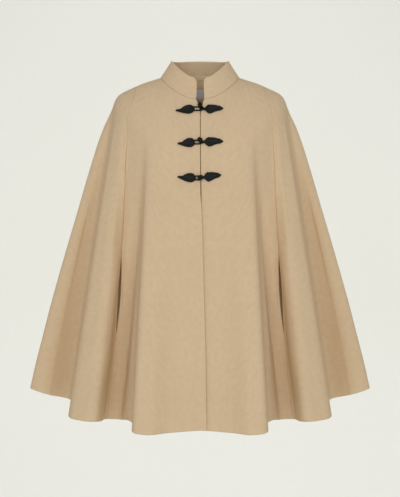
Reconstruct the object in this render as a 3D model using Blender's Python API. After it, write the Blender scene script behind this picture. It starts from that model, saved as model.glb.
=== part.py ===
"""A short wool cape, in the shape it has when worn: stand collar, open front with three corded frog
fastenings, and arm slits in the seams between the fronts and the side panels.

Metres, +Z up. The front faces -Y and the wearer's left side is at +X. The origin is the middle of the
neck opening, level with the points where the neck seam crosses the tops of the shoulders.
"""

import math
from collections import namedtuple

import bmesh
import bpy
import numpy as np

# Cloth and seams
CLOTH = 0.0022
COLLAR_CLOTH = 0.0036
SEAM_GAP = 0.0003

# Over the shoulders the cape follows oval sections, from the neck seam down. "down" is the share of the
# way from the neck seam to the hem. Each section has half its width, how far it reaches to the front and
# back, and its height at the sides, front and back.
Section = namedtuple("Section", "down half_width front back side_z front_z back_z")
SECTIONS = (
    Section(0.000, 0.083, 0.080, 0.062, 0.002, -0.052, 0.014),
    Section(0.076, 0.134, 0.098, 0.082, -0.016, -0.100, -0.040),
    Section(0.136, 0.174, 0.110, 0.096, -0.039, -0.141, -0.084),
    Section(0.220, 0.192, 0.115, 0.106, -0.098, -0.194, -0.146),
)
DROOP = 1.8  # how late a section's height turns down from the side to the front or back

# Below the shoulders the cloth falls straight to the hem, and the fold over the arm bows outwards.
SHOULDER_EDGE = 0.136
FALL_STARTS = 0.100
FALL_IS_FREE = 0.220
Bow = namedtuple("Bow", "down out")
ARM_BOW = (
    Bow(0.136, 0.0010),
    Bow(0.165, 0.0065),
    Bow(0.200, 0.0110),
    Bow(0.250, 0.0145),
    Bow(0.340, 0.0156),
    Bow(0.450, 0.0145),
    Bow(0.560, 0.0136),
    Bow(0.670, 0.0122),
    Bow(0.760, 0.0102),
    Bow(0.850, 0.0070),
    Bow(0.920, 0.0045),
    Bow(1.000, 0.0000),
)
ARM_FOLD = 0.555
ARM_FOLD_SPREAD = 0.075

# The hem, from the middle of the front to the middle of the back, on one side. "around" is the share of
# the way round. The other side mirrors it.
HemPoint = namedtuple("HemPoint", "place around x y z")
HEM = (
    HemPoint("front edge", 0.000, 0.000, -0.150, -0.716),
    HemPoint("front panel", 0.090, 0.062, -0.172, -0.718),
    HemPoint("front fold", 0.155, 0.104, -0.196, -0.7185),
    HemPoint("front fold turns back", 0.200, 0.134, -0.176, -0.715),
    HemPoint("behind the front fold", 0.225, 0.1315, -0.112, -0.7140),
    HemPoint("back of the front fold", 0.262, 0.1484, -0.080, -0.7060),
    HemPoint("beside the side seam", 0.300, 0.1736, -0.057, -0.7094),
    HemPoint("side seam", 0.315, 0.1819, -0.052, -0.7103),
    HemPoint("side fold", 0.350, 0.206, -0.116, -0.704),
    HemPoint("side fold, outer part", 0.390, 0.240, -0.112, -0.702),
    HemPoint("side fold turns back", 0.430, 0.269, -0.074, -0.6975),
    HemPoint("behind the side fold", 0.455, 0.2640, -0.002, -0.6900),
    HemPoint("bottom of the arm fold", 0.480, 0.2824, 0.056, -0.6805),
    HemPoint("arm fold", 0.510, 0.3204, 0.032, -0.6686),
    HemPoint("outer edge", 0.545, 0.362, 0.042, -0.655),
    HemPoint("arm fold turns back", 0.580, 0.350, 0.094, -0.658),
    HemPoint("behind the arm fold", 0.620, 0.300, 0.118, -0.672),
    HemPoint("back seam fold", 0.665, 0.266, 0.172, -0.688),
    HemPoint("back seam", 0.700, 0.228, 0.202, -0.697),
    HemPoint("beside the back seam", 0.745, 0.180, 0.186, -0.704),
    HemPoint("back fold", 0.810, 0.132, 0.214, -0.708),
    HemPoint("beside the back fold", 0.880, 0.076, 0.206, -0.708),
    HemPoint("middle of the back", 1.000, 0.000, 0.224, -0.708),
)

# Seams. The shoulder seam runs from the neck to the shoulder point, where the side panel begins. From
# there the front and back seams part, and each reaches its own line below the shoulder.
SHOULDER_POINT = 0.076
SEAMS_STRAIGHT = 0.160
SEAM_BEND = 2.0
FRONT_SEAM = 0.315
BACK_SEAM = 0.700
NECK_SHARE = 0.72  # share of a front or half back panel's top edge that lies along the neck
ROWS = (
    0.000, 0.004, 0.022, 0.046, 0.075, 0.105, 0.136, 0.160, 0.210, 0.258, 0.305, 0.390, 0.470, 0.535,
    0.575, 0.647, 0.719, 0.759, 1.000,
)
FRONT_COLUMNS = 19
SIDE_COLUMNS = 36
BACK_COLUMNS = 14
TURN_WEIGHT = 0.012  # metres of hem that one radian of bend counts for where columns are spaced

# Arm slits in the front seams
SLIT_TOP = 0.535
SLIT_BOTTOM = 0.759
SLIT_WIDTH = 0.0096
SLIT_FRONT_STEPS_IN = 0.0030
SLIT_SIDE_STANDS_OUT = 0.0015
SLIT_SPREAD = 0.045

# Front edges. The right front stands forward of the left one and laps over it below the last fastening.
FrontEdge = namedtuple("FrontEdge", "down right_x left_x lift")
FRONT_EDGES = (
    FrontEdge(0.000, -0.0080, 0.0084, 0.0),
    FrontEdge(0.022, -0.0024, 0.0040, 0.0),
    FrontEdge(0.046, 0.0002, 0.0016, 0.0),
    FrontEdge(0.075, 0.0002, 0.0014, 0.0),
    FrontEdge(0.220, 0.0006, 0.0018, 0.0),
    FrontEdge(0.260, 0.0008, 0.0022, 0.0001),
    FrontEdge(0.300, 0.0014, 0.0026, 0.0038),
    FrontEdge(0.330, 0.0030, 0.0022, 0.0046),
    FrontEdge(0.390, 0.0048, 0.0010, 0.0046),
    FrontEdge(0.610, 0.0090, 0.0000, 0.0046),
    FrontEdge(0.770, 0.0120, 0.0010, 0.0046),
    FrontEdge(1.000, 0.0138, 0.0020, 0.0048),
)
EDGE_REACH = 0.5  # share of the front panel over which the edge's own line and lift die out

# Stand collar. Its rim is an oval like the neck's, smaller, and leans to the front.
RIM_HALF_WIDTH = 0.0598
RIM_FRONT = 0.0655
RIM_BACK = 0.0500
RIM_SIDE_Z = 0.038
RIM_FRONT_Z = -0.0055
RIM_BACK_Z = 0.0445
RIM_CORNER = 0.0095
COLLAR_ROWS = (0.00, 0.14, 0.40, 0.70, 0.90, 1.00)
COLLAR_HOLLOW = 0.0022  # how far the collar's wall sinks in between the seam and the rim

# Label, sewn to the inside of the back panel below the neck seam
LABEL_WIDTH = 0.030
LABEL_TOP = -0.013
LABEL_BOTTOM = -0.033
LABEL_CLOTH = 0.0006
LABEL_SITS = 0.0005

# Fastenings. Each has a corded wing with a loop on the right front, and a corded wing with a ball knot
# on the left front. Places are x and z in metres as seen from the front.
Frog = namedtuple(
    "Frog",
    "name loop_tip_x loop_tip_z loop_root_x loop_root_z ball_x ball_z knot_root_x knot_root_z knot_tip_x knot_tip_z",
)
FROGS = (
    Frog("frog_1", -0.0489, -0.0767, -0.0124, -0.0732, 0.0000, -0.0684, 0.0109, -0.0737, 0.0468, -0.0720),
    Frog("frog_2", -0.0444, -0.1451, -0.0113, -0.1426, -0.0006, -0.1395, 0.0100, -0.1417, 0.0464, -0.1405),
    Frog("frog_3", -0.0447, -0.2125, -0.0100, -0.2147, -0.0003, -0.2155, 0.0092, -0.2131, 0.0423, -0.2088),
)
CORD_RADIUS = 0.0015
KNOT_CORD_RADIUS = 0.0016
BALL_RADIUS = 0.0047
BALL_HEIGHT = 0.0098
WING_SITS = 0.0005
LOOP_HALF_WIDTH = 0.0036
LOOP_REACH = 0.0057  # from the ball's middle to the middle of the cord at the loop's end
LOOP_SITS = 0.0024
LOOP_END_SITS = 0.0053
KNOT_CORD_SITS = 0.0019

# A wing's outline, from its root to its tip, and its height across from the middle out
WingPlace = namedtuple("WingPlace", "along above below")
LOOP_WING = (
    WingPlace(0.00, 0.0044, 0.0046),
    WingPlace(0.08, 0.0076, 0.0075),
    WingPlace(0.23, 0.0092, 0.0091),
    WingPlace(0.45, 0.0082, 0.0084),
    WingPlace(0.56, 0.0064, 0.0072),
    WingPlace(0.66, 0.0040, 0.0060),
    WingPlace(0.77, 0.0024, 0.0044),
    WingPlace(0.90, 0.0021, 0.0026),
    WingPlace(1.00, 0.0013, 0.0014),
)
KNOT_WING = (
    WingPlace(0.00, 0.0036, 0.0046),
    WingPlace(0.06, 0.0058, 0.0064),
    WingPlace(0.15, 0.0085, 0.0090),
    WingPlace(0.30, 0.0087, 0.0096),
    WingPlace(0.43, 0.0084, 0.0079),
    WingPlace(0.56, 0.0076, 0.0062),
    WingPlace(0.70, 0.0062, 0.0050),
    WingPlace(0.83, 0.0050, 0.0042),
    WingPlace(0.93, 0.0027, 0.0027),
    WingPlace(1.00, 0.0015, 0.0015),
)
WING_RIDGES = ((0.00, 0.0022), (0.22, 0.0036), (0.48, 0.0025), (0.76, 0.0033), (1.00, 0.0016))

WOOL_COLOUR = (0.60, 0.46, 0.30, 1.0)
CORD_COLOUR = (0.012, 0.012, 0.013, 1.0)
LABEL_COLOUR = (0.74, 0.74, 0.73, 1.0)


def curve_through(knots, values, at):
    """A smooth curve through the values at the knots, read at one place or many."""
    knots = np.asarray(knots, float)
    values = np.asarray(values, float)
    at = np.clip(np.asarray(at, float), knots[0], knots[-1])
    steps = np.diff(knots)
    slopes = np.diff(values) / steps
    tangents = np.empty_like(values)
    tangents[1:-1] = (slopes[:-1] * steps[1:] + slopes[1:] * steps[:-1]) / (steps[:-1] + steps[1:])
    tangents[0] = slopes[0]
    tangents[-1] = slopes[-1]
    i = np.clip(np.searchsorted(knots, at, side="right") - 1, 0, len(steps) - 1)
    s = (at - knots[i]) / steps[i]
    start = values[i] * (2 * s**3 - 3 * s**2 + 1) + tangents[i] * steps[i] * (s**3 - 2 * s**2 + s)
    end = values[i + 1] * (3 * s**2 - 2 * s**3) + tangents[i + 1] * steps[i] * (s**3 - s**2)
    return start + end


def column(rows, name):
    return [getattr(row, name) for row in rows]


def section_size(name, down):
    return curve_through(column(SECTIONS, "down"), column(SECTIONS, name), down)


def shoulder_point(around, down):
    """The oval form over the shoulders, on the wearer's left half."""
    angle = np.pi * np.asarray(around, float)
    to_front = np.cos(angle)
    ahead = to_front > 0
    reach = np.where(ahead, section_size("front", down), section_size("back", down))
    side_z = section_size("side_z", down)
    end_z = np.where(ahead, section_size("front_z", down), section_size("back_z", down))
    x = section_size("half_width", down) * np.sin(angle)
    y = -reach * to_front
    z = side_z + (end_z - side_z) * np.abs(to_front) ** DROOP
    return np.stack(np.broadcast_arrays(x, y, z), axis=-1)


def hem_point(around):
    knots = column(HEM, "around")
    return np.stack([curve_through(knots, column(HEM, axis), around) for axis in "xyz"], axis=-1)


def eased(share):
    share = np.clip(share, 0, 1)
    return share * share * (3 - 2 * share)


def fall_point(around, down):
    """The cloth that falls straight from the shoulders' edge to the hem."""
    edge = shoulder_point(around, SHOULDER_EDGE)
    share = (down - SHOULDER_EDGE) / (1 - SHOULDER_EDGE)
    point = edge + (hem_point(around) - edge) * share[..., None]
    bow = curve_through(column(ARM_BOW, "down"), column(ARM_BOW, "out"), down)
    point[..., 0] += bow * np.exp(-(((around - ARM_FOLD) / ARM_FOLD_SPREAD) ** 2))
    return point


def cape_point(around, down):
    """A point of the cape's outer surface. Past 0 or 1 around, it runs on into the other half."""
    around, down = np.broadcast_arrays(np.asarray(around, float), np.asarray(down, float))
    side = np.where((around < 0) | (around > 1), -1.0, 1.0)
    half = np.where(around < 0, -around, np.where(around > 1, 2 - around, around))
    free = eased((down - FALL_STARTS) / (FALL_IS_FREE - FALL_STARTS))[..., None]
    point = shoulder_point(half, down) * (1 - free) + fall_point(half, down) * free
    point[..., 0] *= side
    return point


def cape_normal(around, down):
    """The outward direction of the cape's surface."""
    around, down = np.broadcast_arrays(np.asarray(around, float), np.asarray(down, float))
    across = cape_point(around + 0.002, down) - cape_point(around - 0.002, down)
    along = cape_point(around, np.clip(down + 0.002, 0, 1)) - cape_point(around, np.clip(down - 0.002, 0, 1))
    normal = np.cross(along, across)
    return normal / np.linalg.norm(normal, axis=-1, keepdims=True)


def seam_bend(row):
    return np.clip(1 - np.asarray(row, float) / SEAMS_STRAIGHT, 0, 1) ** SEAM_BEND


def half_panel_place(middle, seam, share, row):
    """Where a point of a front or half back panel lies: share 0 is the middle, 1 is the seam."""
    bend = seam_bend(row)
    top_around = middle + (0.5 - middle) * np.minimum(share / NECK_SHARE, 1)
    top_down = SHOULDER_POINT * np.maximum(0, (share - NECK_SHARE) / (1 - NECK_SHARE))
    around = (1 - bend) * (middle + (seam - middle) * share) + bend * top_around
    down = row + bend * top_down
    return around, np.minimum(down, 1)


def front_place(side, share, row):
    """Where a point of a front panel lies, with its own front edge. side is 1 for left, -1 for right."""
    around, down = half_panel_place(0.0, FRONT_SEAM, share, row)
    downs = column(FRONT_EDGES, "down")
    edge_x = curve_through(downs, column(FRONT_EDGES, "left_x" if side > 0 else "right_x"), down)
    metres_around = cape_point(0.01, down)[..., 0] / 0.01
    near_edge = eased(1 - share / EDGE_REACH)
    return side * around + near_edge * edge_x / metres_around, down


def front_point(side, share, row, out=0.0):
    """A point of a front panel's outer surface, or one that lies out from it."""
    around, down = front_place(side, share, row)
    lift = curve_through(column(FRONT_EDGES, "down"), column(FRONT_EDGES, "lift"), down)
    lift = lift * eased(1 - share / EDGE_REACH) if side < 0 else 0.0 * lift
    return cape_point(around, down) + cape_normal(around, down) * (lift + out)[..., None]


def front_place_of(side, x, z):
    """The share and row at which a front panel's surface has the given x and z."""
    x, z = np.broadcast_arrays(np.asarray(x, float), np.asarray(z, float))
    share = np.clip(np.abs(x) / 0.17, 0.0, 0.9)
    row = np.clip((-0.052 - z) / 0.66, 0.01, 0.9)
    step = 0.001
    for _ in range(14):
        here = front_point(side, share, row)
        by_share = (front_point(side, share + step, row) - here) / step
        by_row = (front_point(side, share, row + step) - here) / step
        miss_x = x - here[..., 0]
        miss_z = z - here[..., 2]
        size = by_share[..., 0] * by_row[..., 2] - by_row[..., 0] * by_share[..., 2]
        share = share + (miss_x * by_row[..., 2] - miss_z * by_row[..., 0]) / size
        row = row + (miss_z * by_share[..., 0] - miss_x * by_share[..., 2]) / size
        row = np.clip(row, 0.0, 0.95)
    return share, row


def front_surface(side, x, z, out):
    """The point that lies out from a front panel at the given x and z."""
    share, row = front_place_of(side, x, z)
    return front_point(side, share, row, np.asarray(out, float) + 0.0 * share)


def column_shares(first, last, count):
    """Shares for a panel's columns, closer together where the hem bends."""
    places = np.linspace(first, last, 1500)
    steps = np.diff(hem_point(places), axis=0)
    lengths = np.linalg.norm(steps, axis=1)
    headings = steps / lengths[:, None]
    turns = np.linalg.norm(np.diff(headings, axis=0), axis=1)
    measure = np.concatenate([[0], np.cumsum(lengths + TURN_WEIGHT * np.append(turns, 0))])
    even = np.linspace(0, measure[-1], count + 1)
    return np.interp(even, measure, np.linspace(0, 1, 1500))


def with_neck_corner(shares):
    """The same shares, with the nearest one moved to the corner of the neck and the shoulder seam."""
    shares = np.array(shares)
    shares[np.argmin(np.abs(shares - NECK_SHARE))] = NECK_SHARE
    return shares


def pulled_in(grid, sides):
    """The grid of points with the named edges drawn in by half a seam's gap."""
    half = SEAM_GAP / 2
    edges = {
        "first_row": (np.s_[0, :], np.s_[1, :]),
        "first_column": (np.s_[:, 0], np.s_[:, 1]),
        "last_column": (np.s_[:, -1], np.s_[:, -2]),
    }
    result = grid.copy()
    for side in sides:
        edge, beside = edges[side]
        inward = grid[beside] - grid[edge]
        result[edge] = result[edge] + half * inward / np.linalg.norm(inward, axis=-1, keepdims=True)
    return result


def slit_share(row):
    """0 above and below the arm slit, 1 halfway down it."""
    inside = np.clip((np.asarray(row, float) - SLIT_TOP) / (SLIT_BOTTOM - SLIT_TOP), 0, 1)
    return np.sin(np.pi * inside) ** 0.7


def opened_at_slit(points, normals, rows, seam_column, stands_out):
    """The panel's points, drawn away from the arm slit beside the named column."""
    distance = np.linalg.norm(points - points[:, [seam_column]], axis=-1)
    near = eased(1 - distance / SLIT_SPREAD) * slit_share(rows)[:, None]
    neighbour = 1 if seam_column == 0 else -2
    away = points[:, neighbour] - points[:, seam_column]
    away = away / np.linalg.norm(away, axis=-1, keepdims=True)
    shift = 0.5 * SLIT_WIDTH * away[:, None, :] + stands_out * normals
    return points + near[..., None] * shift


def new_material(name, colour, roughness):
    material = bpy.data.materials.new(name)
    material.use_nodes = True
    shader = material.node_tree.nodes["Principled BSDF"]
    shader.inputs["Base Color"].default_value = colour
    shader.inputs["Roughness"].default_value = roughness
    shader.inputs["Metallic"].default_value = 0.0
    material.diffuse_color = colour
    return material


def add_mesh_object(name, bm, material):
    bmesh.ops.recalc_face_normals(bm, faces=bm.faces)
    mesh = bpy.data.meshes.new(name)
    bm.to_mesh(mesh)
    bm.free()
    mesh.materials.append(material)
    mesh.shade_smooth()
    mesh.set_sharp_from_angle(angle=math.radians(40))
    thing = bpy.data.objects.new(name, mesh)
    bpy.context.scene.collection.objects.link(thing)
    return thing


def add_layered_sheet(name, outer, inner, material):
    """A closed solid between two grids of points that match row by row and column by column."""
    rows, columns = outer.shape[:2]
    bm = bmesh.new()
    top = [[bm.verts.new(outer[i, j]) for j in range(columns)] for i in range(rows)]
    bottom = [[bm.verts.new(inner[i, j]) for j in range(columns)] for i in range(rows)]
    for i in range(rows - 1):
        for j in range(columns - 1):
            bm.faces.new((top[i][j], top[i + 1][j], top[i + 1][j + 1], top[i][j + 1]))
            bm.faces.new((bottom[i][j], bottom[i][j + 1], bottom[i + 1][j + 1], bottom[i + 1][j]))
    for j in range(columns - 1):
        bm.faces.new((top[0][j], top[0][j + 1], bottom[0][j + 1], bottom[0][j]))
        bm.faces.new((top[-1][j + 1], top[-1][j], bottom[-1][j], bottom[-1][j + 1]))
    for i in range(rows - 1):
        bm.faces.new((top[i + 1][0], top[i][0], bottom[i][0], bottom[i + 1][0]))
        bm.faces.new((top[i][-1], top[i + 1][-1], bottom[i + 1][-1], bottom[i][-1]))
    return add_mesh_object(name, bm, material)


def add_front_panel(name, side, material):
    shares = with_neck_corner(column_shares(0.0, FRONT_SEAM, FRONT_COLUMNS))
    share, row = np.meshgrid(shares, ROWS)
    around, down = front_place(side, share, row)
    normals = cape_normal(around, down)
    outer = front_point(side, share, row)
    outer = opened_at_slit(outer, normals, ROWS, -1, -SLIT_FRONT_STEPS_IN)
    inner = outer - normals * CLOTH
    edges = ("first_row", "last_column")
    return add_layered_sheet(name, pulled_in(outer, edges), pulled_in(inner, edges), material)


def add_side_panel(name, side, material):
    shares = column_shares(FRONT_SEAM, BACK_SEAM, SIDE_COLUMNS)
    rows = ROWS[1:]
    share, row = np.meshgrid(shares, rows)
    bend = seam_bend(row)
    around = (1 - bend) * (FRONT_SEAM + (BACK_SEAM - FRONT_SEAM) * share) + bend * 0.5
    down = np.minimum(row + bend * SHOULDER_POINT, 1)
    normals = cape_normal(around, down)
    outer = opened_at_slit(cape_point(around, down), normals, rows, 0, SLIT_SIDE_STANDS_OUT)
    inner = outer - normals * CLOTH
    edges = ("first_column", "last_column")
    mirror = np.array([side, 1, 1])
    return add_layered_sheet(name, pulled_in(outer, edges) * mirror, pulled_in(inner, edges) * mirror, material)


def back_places():
    """The back panel's columns, from the left seam round to the right seam."""
    half = with_neck_corner(column_shares(1.0, BACK_SEAM, BACK_COLUMNS))
    share, row = np.meshgrid(half, ROWS)
    around, down = half_panel_place(1.0, BACK_SEAM, share, row)
    around = np.concatenate([around[:, :0:-1], 2 - around], axis=1)
    down = np.concatenate([down[:, :0:-1], down], axis=1)
    return around, down


def add_back_panel(name, material):
    around, down = back_places()
    outer = cape_point(around, down)
    inner = outer - cape_normal(around, down) * CLOTH
    edges = ("first_row", "first_column", "last_column")
    return add_layered_sheet(name, pulled_in(outer, edges), pulled_in(inner, edges), material)


def collar_arounds():
    """The neck edge's columns, from the left front edge round the back to the right front edge."""
    shares = with_neck_corner(column_shares(0.0, FRONT_SEAM, FRONT_COLUMNS))
    on_neck = shares[shares <= NECK_SHARE + 1e-9]
    left = front_place(1, on_neck, 0.0 * on_neck)[0]
    right = 2 + front_place(-1, on_neck, 0.0 * on_neck)[0]
    back = back_places()[0][0]
    back = back[(back > 0.5 + 1e-6) & (back < 1.5 - 1e-6)]
    return np.concatenate([left, back, right[::-1]])


def collar_point(around, up):
    """A point of the collar's outer surface. up is 0 at the neck seam and 1 at the rim."""
    side = np.where(around > 1, -1.0, 1.0)
    half = np.where(around > 1, 2 - around, around)
    foot = cape_point(half, 0.0)
    foot[..., 2] += SEAM_GAP
    angle = np.pi * half
    to_front = np.cos(angle)
    ahead = to_front > 0
    end_z = np.where(ahead, RIM_FRONT_Z, RIM_BACK_Z)
    x = RIM_HALF_WIDTH * np.sin(angle)
    y = -np.where(ahead, RIM_FRONT, RIM_BACK) * to_front
    z = RIM_SIDE_Z + (end_z - RIM_SIDE_Z) * np.abs(to_front) ** DROOP
    # The front edges stand parallel, so the rim's ends are as far apart as the seam's.
    ends = eased(1 - half / 0.18)
    x = x * (1 - ends) + foot[..., 0] * ends
    from_end = np.clip(np.abs(foot[..., 0]) - abs(FRONT_EDGES[0].right_x), 0, RIM_CORNER)
    corner = RIM_CORNER - np.sqrt(RIM_CORNER**2 - (RIM_CORNER - from_end) ** 2)
    z = z - np.where(half < 0.25, corner, 0)
    rim = np.stack([x, y, z], axis=-1)
    point = foot + (rim - foot) * up[..., None]
    sink = COLLAR_HOLLOW * 4 * up * (1 - up)
    point[..., 1] += sink * to_front
    point[..., 0] -= sink * np.sin(angle)
    point[..., 0] *= side
    return point


def collar_grids():
    """The collar's outer and inner points, one row for each height."""
    arounds = collar_arounds()
    around, up = np.meshgrid(arounds, COLLAR_ROWS)
    outer = collar_point(around, up)
    across = np.gradient(outer, axis=1)
    upwards = np.gradient(outer, axis=0)
    normals = np.cross(across, upwards)
    normals = normals / np.linalg.norm(normals, axis=-1, keepdims=True)
    inner = outer - normals * COLLAR_CLOTH
    inner[0] = outer[0] - normals[0] * [[1, 1, 0]] * COLLAR_CLOTH
    return outer, inner


def add_wing(name, side, places, root, tip, material):
    """A flat wing of nested loops of cord, following the cloth that it is sewn to."""
    alongs = np.array([0, 0.04, 0.10, 0.18, 0.27, 0.36, 0.45, 0.54, 0.63, 0.72, 0.81, 0.90, 0.96, 1.0])
    across = [-share for share, _ in WING_RIDGES[:0:-1]] + [share for share, _ in WING_RIDGES]
    ridges = [height for _, height in WING_RIDGES[:0:-1]] + [height for _, height in WING_RIDGES]
    root = np.array(root)
    heading = np.array(tip) - root
    upward = np.array([-heading[1], heading[0]]) / np.linalg.norm(heading)
    upward = upward if upward[1] > 0 else -upward
    above = curve_through(column(places, "along"), column(places, "above"), alongs)
    below = curve_through(column(places, "along"), column(places, "below"), alongs)
    t, along = np.meshgrid(across, alongs)
    half_width = np.where(t > 0, above[:, None], below[:, None])
    x = root[0] + heading[0] * along + upward[0] * t * half_width
    z = root[1] + heading[1] * along + upward[1] * t * half_width
    low_end = np.interp(alongs, [0, 0.05, 0.92, 1.0], [0.75, 1.0, 1.0, 0.55])
    height = np.array(ridges)[None, :] * low_end[:, None]
    underside = front_surface(side, x, z, WING_SITS)
    topside = front_surface(side, x, z, WING_SITS + height)
    return add_layered_sheet(name, topside, underside, material)


def cape_surface(x, z, out, around):
    """The point that lies out from the whole cape at the given x and z, searched for from around."""
    around = np.full_like(x, around, dtype=float)
    down = np.full_like(around, 0.1)
    for _ in range(14):
        here = cape_point(around, down)
        scale = (cape_point(around + 0.001, down)[..., 0] - here[..., 0]) / 0.001
        fall = (cape_point(around, down + 0.001)[..., 2] - here[..., 2]) / 0.001
        around = around + (x - here[..., 0]) / scale
        down = np.clip(down + (z - here[..., 2]) / fall, 0, 0.98)
    return cape_point(around, down) + cape_normal(around, down) * np.asarray(out, float)[..., None]


def over_front(x, z, out):
    """A point out from the closed fronts, as if they were one surface."""
    return cape_surface(np.asarray(x, float), z, out, 0.0)


def add_label(name, material):
    """A plain woven label on the inside of the back panel."""
    across = np.linspace(-LABEL_WIDTH / 2, LABEL_WIDTH / 2, 7)
    x, z = np.meshgrid(across, np.linspace(LABEL_TOP, LABEL_BOTTOM, 4))
    backing = cape_surface(x, z, np.full_like(x, -CLOTH - LABEL_SITS), 1.0)
    face = cape_surface(x, z, np.full_like(x, -CLOTH - LABEL_SITS - LABEL_CLOTH), 1.0)
    return add_layered_sheet(name, face, backing, material)


def add_cord(name, points, radius, material):
    spline_curve = bpy.data.curves.new(name, "CURVE")
    spline_curve.dimensions = "3D"
    spline_curve.bevel_depth = radius
    spline_curve.bevel_resolution = 2
    spline_curve.use_fill_caps = True
    spline = spline_curve.splines.new("POLY")
    spline.points.add(len(points) - 1)
    for point, place in zip(spline.points, points):
        point.co = (*place, 1.0)
    spline_curve.materials.append(material)
    thing = bpy.data.objects.new(name, spline_curve)
    bpy.context.scene.collection.objects.link(thing)
    return thing


def add_loop(name, frog, material):
    """A doubled cord from the wing on the right front, round under the ball knot."""
    start = frog.loop_root_x + 0.0008
    end = frog.ball_x + LOOP_REACH
    straight = np.linspace(start, end - LOOP_HALF_WIDTH, 7)
    turn = np.linspace(np.pi / 2, -np.pi / 2, 11)[1:-1]
    x = np.concatenate([straight, end - LOOP_HALF_WIDTH + LOOP_HALF_WIDTH * np.cos(turn), straight[::-1]])
    z = np.concatenate([0 * straight + LOOP_HALF_WIDTH, LOOP_HALF_WIDTH * np.sin(turn), 0 * straight - LOOP_HALF_WIDTH])
    rise = eased((x - frog.ball_x) / (end - frog.ball_x))
    out = LOOP_SITS + (LOOP_END_SITS - LOOP_SITS) * rise
    slant = (frog.knot_root_z - frog.loop_root_z) * (x - frog.loop_root_x) / (frog.knot_root_x - frog.loop_root_x)
    return add_cord(name, over_front(x, frog.loop_root_z + slant + z, out), CORD_RADIUS, material)


def add_knot_cord(name, frog, material):
    """The short cord from the left front's wing, under the loop's end and up to the ball knot."""
    start = np.array([frog.knot_root_x - 0.0008, frog.knot_root_z, KNOT_CORD_SITS])
    ball = np.array([frog.ball_x, frog.ball_z, BALL_HEIGHT])
    share = (frog.ball_x - frog.loop_root_x) / (frog.knot_root_x - frog.loop_root_x)
    axis_z = frog.loop_root_z + (frog.knot_root_z - frog.loop_root_z) * share
    lean = frog.ball_z - axis_z
    foot = np.array([frog.ball_x + 0.0026, axis_z, KNOT_CORD_SITS])
    bend = np.array([frog.ball_x + 0.0003, axis_z + 0.05 * lean, KNOT_CORD_SITS + 0.0013])
    into_ball = (ball - bend) / np.linalg.norm(ball - bend)
    end = ball - into_ball * (BALL_RADIUS + SEAM_GAP)
    route = np.array([start, foot, bend, end])
    at = np.linspace(0, 1, 14)
    x, z, out = [curve_through([0, 0.55, 0.82, 1], route[:, axis], at) for axis in range(3)]
    return add_cord(name, over_front(x, z, out), KNOT_CORD_RADIUS, material)


def add_ball(name, frog, material):
    centre = over_front(np.array([frog.ball_x]), np.array([frog.ball_z]), np.array([BALL_HEIGHT]))[0]
    bm = bmesh.new()
    bmesh.ops.create_uvsphere(bm, u_segments=16, v_segments=10, radius=BALL_RADIUS)
    ball = add_mesh_object(name, bm, material)
    ball.location = centre
    return ball


def main():
    for thing in list(bpy.data.objects):
        bpy.data.objects.remove(thing)

    def wool(name):
        return new_material(name + "_wool", WOOL_COLOUR, 0.9)

    def cord(name):
        return new_material(name + "_cord", CORD_COLOUR, 0.6)

    add_front_panel("front_left", 1, wool("front_left"))
    add_front_panel("front_right", -1, wool("front_right"))
    add_side_panel("side_left", 1, wool("side_left"))
    add_side_panel("side_right", -1, wool("side_right"))
    add_back_panel("back", wool("back"))
    outer, inner = collar_grids()
    add_layered_sheet("collar", outer, inner, wool("collar"))
    add_label("neck_label", new_material("label_weave", LABEL_COLOUR, 0.8))
    for frog in FROGS:
        loop_wing = frog.name + "_loop_wing"
        knot_wing = frog.name + "_knot_wing"
        loop_root = (frog.loop_root_x, frog.loop_root_z)
        loop_tip = (frog.loop_tip_x, frog.loop_tip_z)
        knot_root = (frog.knot_root_x, frog.knot_root_z)
        knot_tip = (frog.knot_tip_x, frog.knot_tip_z)
        add_wing(loop_wing, -1, LOOP_WING, loop_root, loop_tip, cord(loop_wing))
        add_wing(knot_wing, 1, KNOT_WING, knot_root, knot_tip, cord(knot_wing))
        add_loop(frog.name + "_loop", frog, cord(frog.name + "_loop"))
        add_knot_cord(frog.name + "_knot_cord", frog, cord(frog.name + "_knot_cord"))
        add_ball(frog.name + "_ball", frog, cord(frog.name + "_ball"))
    bpy.context.view_layer.update()


if __name__ == "__main__":
    main()
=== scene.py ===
"""Dresses the short wool cape: cloth panels with turned hems and pressed seams, a stand collar, a plain
neck label and three corded frog fastenings, on a pale studio sweep.

Metres, +Z up. The front faces -Y and the wearer's left side is at +X. The origin is the middle of the neck
opening.
"""

import math
from collections import namedtuple

import bpy
import numpy as np
from bpy.props import FloatProperty, PointerProperty, StringProperty
from mathutils import Matrix, Vector


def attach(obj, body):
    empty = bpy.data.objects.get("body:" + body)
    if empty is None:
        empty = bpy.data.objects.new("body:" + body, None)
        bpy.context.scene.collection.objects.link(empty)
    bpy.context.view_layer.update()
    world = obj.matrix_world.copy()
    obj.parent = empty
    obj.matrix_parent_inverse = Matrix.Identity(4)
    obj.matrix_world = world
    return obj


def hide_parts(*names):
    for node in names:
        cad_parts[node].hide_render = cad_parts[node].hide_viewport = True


bl_info = {
    "name": "Wool cape",
    "version": (1, 0, 0),
    "blender": (4, 5, 0),
    "location": "View3D > Sidebar > Cape",
    "description": "Makes the cloth, collar, label and frog fastenings of a short wool cape",
    "category": "Add Mesh",
}

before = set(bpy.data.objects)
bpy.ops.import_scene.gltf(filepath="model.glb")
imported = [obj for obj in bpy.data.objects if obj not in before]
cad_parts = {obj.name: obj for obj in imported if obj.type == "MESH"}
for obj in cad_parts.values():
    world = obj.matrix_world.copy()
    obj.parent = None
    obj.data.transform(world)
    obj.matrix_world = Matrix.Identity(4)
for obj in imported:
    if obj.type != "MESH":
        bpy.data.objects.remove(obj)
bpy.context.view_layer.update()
BODY = "root"

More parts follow.
